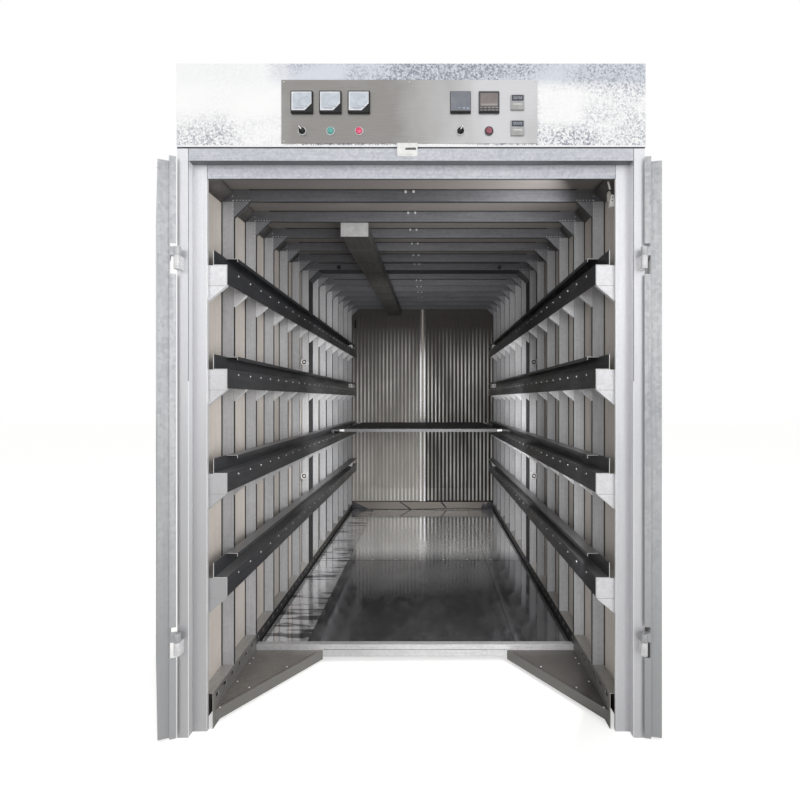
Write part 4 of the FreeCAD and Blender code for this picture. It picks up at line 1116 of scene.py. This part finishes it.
# %% Trunking and joint bolts
trunk_low, trunk_high = corners_of("ceiling_trunking")
trunk_front = trunk_low[1]
trunk_top = ceiling(trunk_front) - bow_depth
trunk_height = 64.5 * MM
cap = boxed((trunk_low[0] - 1 * MM, trunk_front - 2 * MM, trunk_low[2] - 1 * MM),
            (trunk_high[0] + 1 * MM, trunk_front + 4 * MM, trunk_top + 1 * MM), 1 * MM)
straps = [boxed((trunk_low[0] - 1.5 * MM, y, ceiling(y) - bow_depth - trunk_height),
                (trunk_high[0] + 1.5 * MM, y + 14 * MM, ceiling(y) - bow_depth), 0.6 * MM, 1)
          for y in rib_fronts[2:] + 4 * MM]
add_piece("trunking_cap_and_straps", joined([cap] + straps), [grey_abs, trunking_steel])
cups_low, cups_high = corners_of("joint_bolts")
cup_radius = 23 * MM
cup_x = cups_high[0] - cup_radius
# Near-black discs on the cups' floors: painted shade.
cup_shade_disc = turned(np.array([(14.9, 11.0), (14.9, 11.9)]) * MM, 28)
cup_places = [(x, cups_low[1] + 23.5 * MM, z) for x in (-cup_x, cup_x)
              for z in (cups_high[2] - cup_radius, cups_low[2] + cup_radius)]
add_line("joint_cup_shade_discs", copies(cup_shade_disc, cup_places, FORWARD), black_gap)

# %% [markdown]
# Outside, the wall panels butt together at every third rib, and the joint is covered by a thin
# strip with a row of rivets at each side. The roof edge and the rear edges are riveted the same
# way. Nobody sees this side from the doorway, but the cabin is a whole object.

# %% Joints and rivets of the outside
wall_low, wall_high = corners_of("left_wall")
outer_x = wall_low[0]
strip_ys = rib_fronts[[2, 5, 8, 11]] + rib_width / 2
seal_low, seal_high = corners_of("module_seal")
strip_ys[1] = (seal_low[1] + seal_high[1]) / 2
cover_half = 22 * MM
COVER = 1.2 * MM
covers = [boxed((outer_x - COVER, y - cover_half, 20 * MM),
                (outer_x + 0.5 * MM, y + cover_half, ceiling(y) + 30 * MM), 0.4 * MM) for y in strip_ys]
add_piece("outer_cover_strips", on_both_sides(joined(covers)), [plain_rib])
RIVET_STEP = 120 * MM
strip_rivets = [(outer_x - COVER, y + aside * MM, z) for y in strip_ys for aside in (-15, 15)
                for z in np.arange(0.08, 2.1, RIVET_STEP)]
edge_rivets = [(outer_x, y, z) for y in np.arange(wall_low[1] + 60 * MM, wall_high[1], RIVET_STEP)
               for z in (60 * MM, ceiling(y) - 12 * MM)]
add_fasteners("outer_side_rivets", rivet, strip_rivets + edge_rivets, LEFT, both_sides=True)
rear_face = rear_high[1]
rear_covers = [boxed((x * MM - cover_half, rear_face - 0.5 * MM, 20 * MM),
                     (x * MM + cover_half, rear_face + COVER, 2200 * MM), 0.4 * MM) for x in (-284, 284)]
add_piece("rear_cover_strips", joined(rear_covers), [plain_rib])
rear_zs = np.arange(0.08, 2.18, RIVET_STEP)
rear_rivets = [(x * MM, rear_face + COVER, z) for x in (-299, -269, 269, 299) for z in rear_zs]
rear_rivets += [(x * MM, rear_face, z) for x in (-835, 835) for z in rear_zs]
rear_rivets += [(x, rear_face, z) for x in np.arange(-780, 800, 120) * MM for z in (60 * MM, 2190 * MM)]
add_fasteners("outer_rear_rivets", rivet, rear_rivets, BACKWARD)
header_rivets = [(header_low[0], header_low[1] + behind * MM, header_foot + above * MM)
                 for behind in (20, 360) for above in range(25, 300, 60)]
add_fasteners("header_side_rivets", rivet, header_rivets, LEFT, both_sides=True)

# %% [markdown]
# Each door leaf is a foam panel in folded sheet. Screws close its edges, and the outer skin has a
# pressed border. Pieces that ride on a door are made where they stand at rest, with the door wide
# open: a shape is drawn on the closed leaf and then turned round the hinge by the joint's range.

# %% Door details
hinges = {joint["name"]: joint for joint in frame["record"]["behaviour"]["joints"] if joint["type"] == "hinge"}


def opened(shape, joint_name):
    """Turns a shape from the closed leaf to the leaf at rest: back by the largest joint angle."""
    joint = hinges[joint_name]
    angle = -math.radians(joint["range_deg"][1]) * joint["axis"][2]
    pivot = np.array(joint["pos_m"])
    return shape._replace(points=about_z(shape.points - pivot, angle) + pivot)


skin_y, core_y = depth(-8), depth(33)
leaf_far, leaf_near = -806 * MM, -16 * MM
leaf_zs = np.arange(0.09, 2.08, 0.18)
inner_places = [(x, core_y, z) for x in (leaf_far + 12 * MM, leaf_near - 12 * MM) for z in leaf_zs]
outer_places = [(x, skin_y, z) for x in (leaf_far + 8 * MM, leaf_near - 8 * MM) for z in leaf_zs]
inner_screws = copies(small_screw, inner_places, BACKWARD)
outer_rivets = copies(rivet, outer_places, FORWARD)
BORDER = 8 * MM
border_left, border_right = leaf_far + 50 * MM, leaf_near - 50 * MM
border_foot, border_top = 80 * MM, 2010 * MM


def border_bar(left, right, foot, top):
    """Raised bar on the closed leaf's outer skin."""
    return boxed((left, skin_y - 1 * MM, foot), (right, skin_y + 0.5 * MM, top), 0.4 * MM, 1)


border = [border_bar(border_left, border_right, foot, foot + BORDER) for foot in (border_foot, border_top)]
border += [border_bar(x, x + BORDER, border_foot + BORDER, border_top) for x in (border_left, border_right - BORDER)]
# The skin's hinge edge turns out in a narrow flange, notched round the two hinges.
flange_x = corners_of("frame_hinges")[0][0] + 30 * MM
flanges = [boxed((flange_x, depth(-28), low * MM), (flange_x + 2 * MM, depth(-7), high * MM), 0.5 * MM, 1)
           for low, high in ((8, 300), (410, 1687), (1797, 2112))]
leaf_details = joined([inner_screws, outer_rivets] + border + flanges)
leaf_finishes = [plated_steel, door_zinc]
add_piece("left_door_details", opened(leaf_details, "left_door_hinge"), leaf_finishes, "left_door")
right_details = opened(mirrored(leaf_details), "right_door_hinge")
add_piece("right_door_details", right_details, leaf_finishes, "right_door")

# %% [markdown]
# The carrier tray is dark sheet screwed to a zinc-plated tube frame. Its stub axles step down
# before they reach the rollers.

# %% Carrier tray details
tray_low, tray_high = corners_of("tray_plate")
tray_top = tray_high[2]
EDGE_INSET = 12 * MM
tray_xs = (tray_low[0] + EDGE_INSET, tray_high[0] - EDGE_INSET)
axle_ys = (tray_low[1] + EDGE_INSET, tray_high[1] - EDGE_INSET)
axle_z = corners_of("tray_frame")[0][2] + 24 * MM
tray_screws = [(x, y, tray_top) for x in tray_xs for y in np.linspace(tray_low[1] + 0.06, tray_high[1] - 0.06, 7)]
tray_screws += [(x, y, tray_top) for x in np.linspace(tray_low[0] + 0.1, tray_high[0] - 0.1, 6) for y in axle_ys]
add_fasteners("tray_screws", small_screw, tray_screws, body="carrier_tray")
axle_steps = turned(np.array([(11, 0), (11, 22), (9.4, 23), (9.4, 40)]) * MM, 18)
steps = joined([copies(axle_steps, [(x * MM, y, axle_z) for y in axle_ys], facing)
                for x, facing in ((-623, LEFT), (623, RIGHT))])
add_piece("tray_axle_sleeves", steps, [bright_plating_and_highlight], "carrier_tray")

# %% [markdown]
# The stage is a plain pale floor under an even white sky. The object is lit by two soft boxes in
# front of the doorway and a broad one overhead. A deep cabin gets nearly all its light through the
# doorway, so one small lamp stands inside the right jamb and lights the left side, and one in
# mid-cabin lights the rear wall. The camera and mirrors see none of the five. They see a white
# sky, which gives only a plain level of light to everything else.

# %% Stage and light
world = bpy.data.worlds.new("white_sky")
bpy.context.scene.world = world
world.use_nodes = True
sky = world.node_tree
sky.nodes.clear()
ray = add_node(sky, "ShaderNodeLightPath").outputs
seen = add_node(sky, "ShaderNodeMath", {0: ray["Is Camera Ray"], 1: ray["Is Glossy Ray"]}, operation="MAXIMUM")
SKY_LIGHT = 0.42
level = ranged(sky, seen.outputs[0], 0.0, 1.0, SKY_LIGHT, 1.0)
background = add_node(sky, "ShaderNodeBackground", {"Color": (1, 1, 1, 1), "Strength": level})
add_node(sky, "ShaderNodeOutputWorld", {"Surface": background.outputs[0]})

REACH = 30.0
stage_shape = ringed([[(-REACH, -REACH, z), (REACH, -REACH, z), (REACH, REACH, z), (-REACH, REACH, z)]
                      for z in (-0.02, 0.0)])
stage_mesh = bpy.data.meshes.new("pale_floor")
stage_mesh.from_pydata(stage_shape.points, [], stage_shape.corners.reshape(-1, 4))
stage_floor = bpy.data.objects.new("pale_floor", stage_mesh)
bpy.context.scene.collection.objects.link(stage_floor)
floor_paint, tree, shader = new_material("matt_white_floor_paint", Roughness=0.9)
shader.inputs["Base Color"].default_value = linear("#e8e8e6")
path = add_node(tree, "ShaderNodeLightPath").outputs
lift = add_node(tree, "ShaderNodeEmission", {"Color": (1, 1, 1, 1), "Strength": 0.6})
shown = add_node(tree, "ShaderNodeAddShader", {0: shader.outputs[0], 1: lift.outputs[0]})
output = next(node for node in tree.nodes if node.bl_idname == "ShaderNodeOutputMaterial")
chosen = add_node(tree, "ShaderNodeMixShader", {0: path["Is Camera Ray"], 1: shader.outputs[0], 2: shown.outputs[0]})
tree.links.new(chosen.outputs[0], output.inputs["Surface"])
stage_mesh.materials.append(floor_paint)


def soft_box(name, location, aim, size, watts):
    """Rectangular lamp of a size in metres at a place, turned to another place."""
    lamp = bpy.data.lights.new(name, "AREA")
    lamp.shape = "RECTANGLE"
    lamp.size, lamp.size_y = size
    lamp.energy = watts
    holder = bpy.data.objects.new(name, lamp)
    holder.location = location
    aim_line = Vector(aim) - Vector(location)
    holder.rotation_euler = aim_line.to_track_quat("-Z", "Y").to_euler()
    bpy.context.scene.collection.objects.link(holder)
    return holder


lamps = [
    soft_box("left_soft_box", (-2.8, -7.0, 2.4), (0, -2.0, 1.1), (2.6, 2.4), 80),
    soft_box("right_soft_box", (2.5, -7.0, 2.0), (0, -2.0, 1.1), (2.6, 2.4), 105),
    soft_box("overhead_soft_box", (0, 0.5, 6.0), (0, 0, 0), (6.0, 6.0), 100),
    soft_box("doorway_fill", (0.62, depth(120), 1.15), (-0.7, depth(760), 1.1), (0.2, 1.7), 19),
    soft_box("rear_fill", (0.1, depth(1500), 1.1), (-0.3, depth(3900), 0.5), (0.9, 0.9), 20),
]
for lamp in lamps:
    lamp.visible_camera = False
    lamp.visible_glossy = False
print("stage ready")
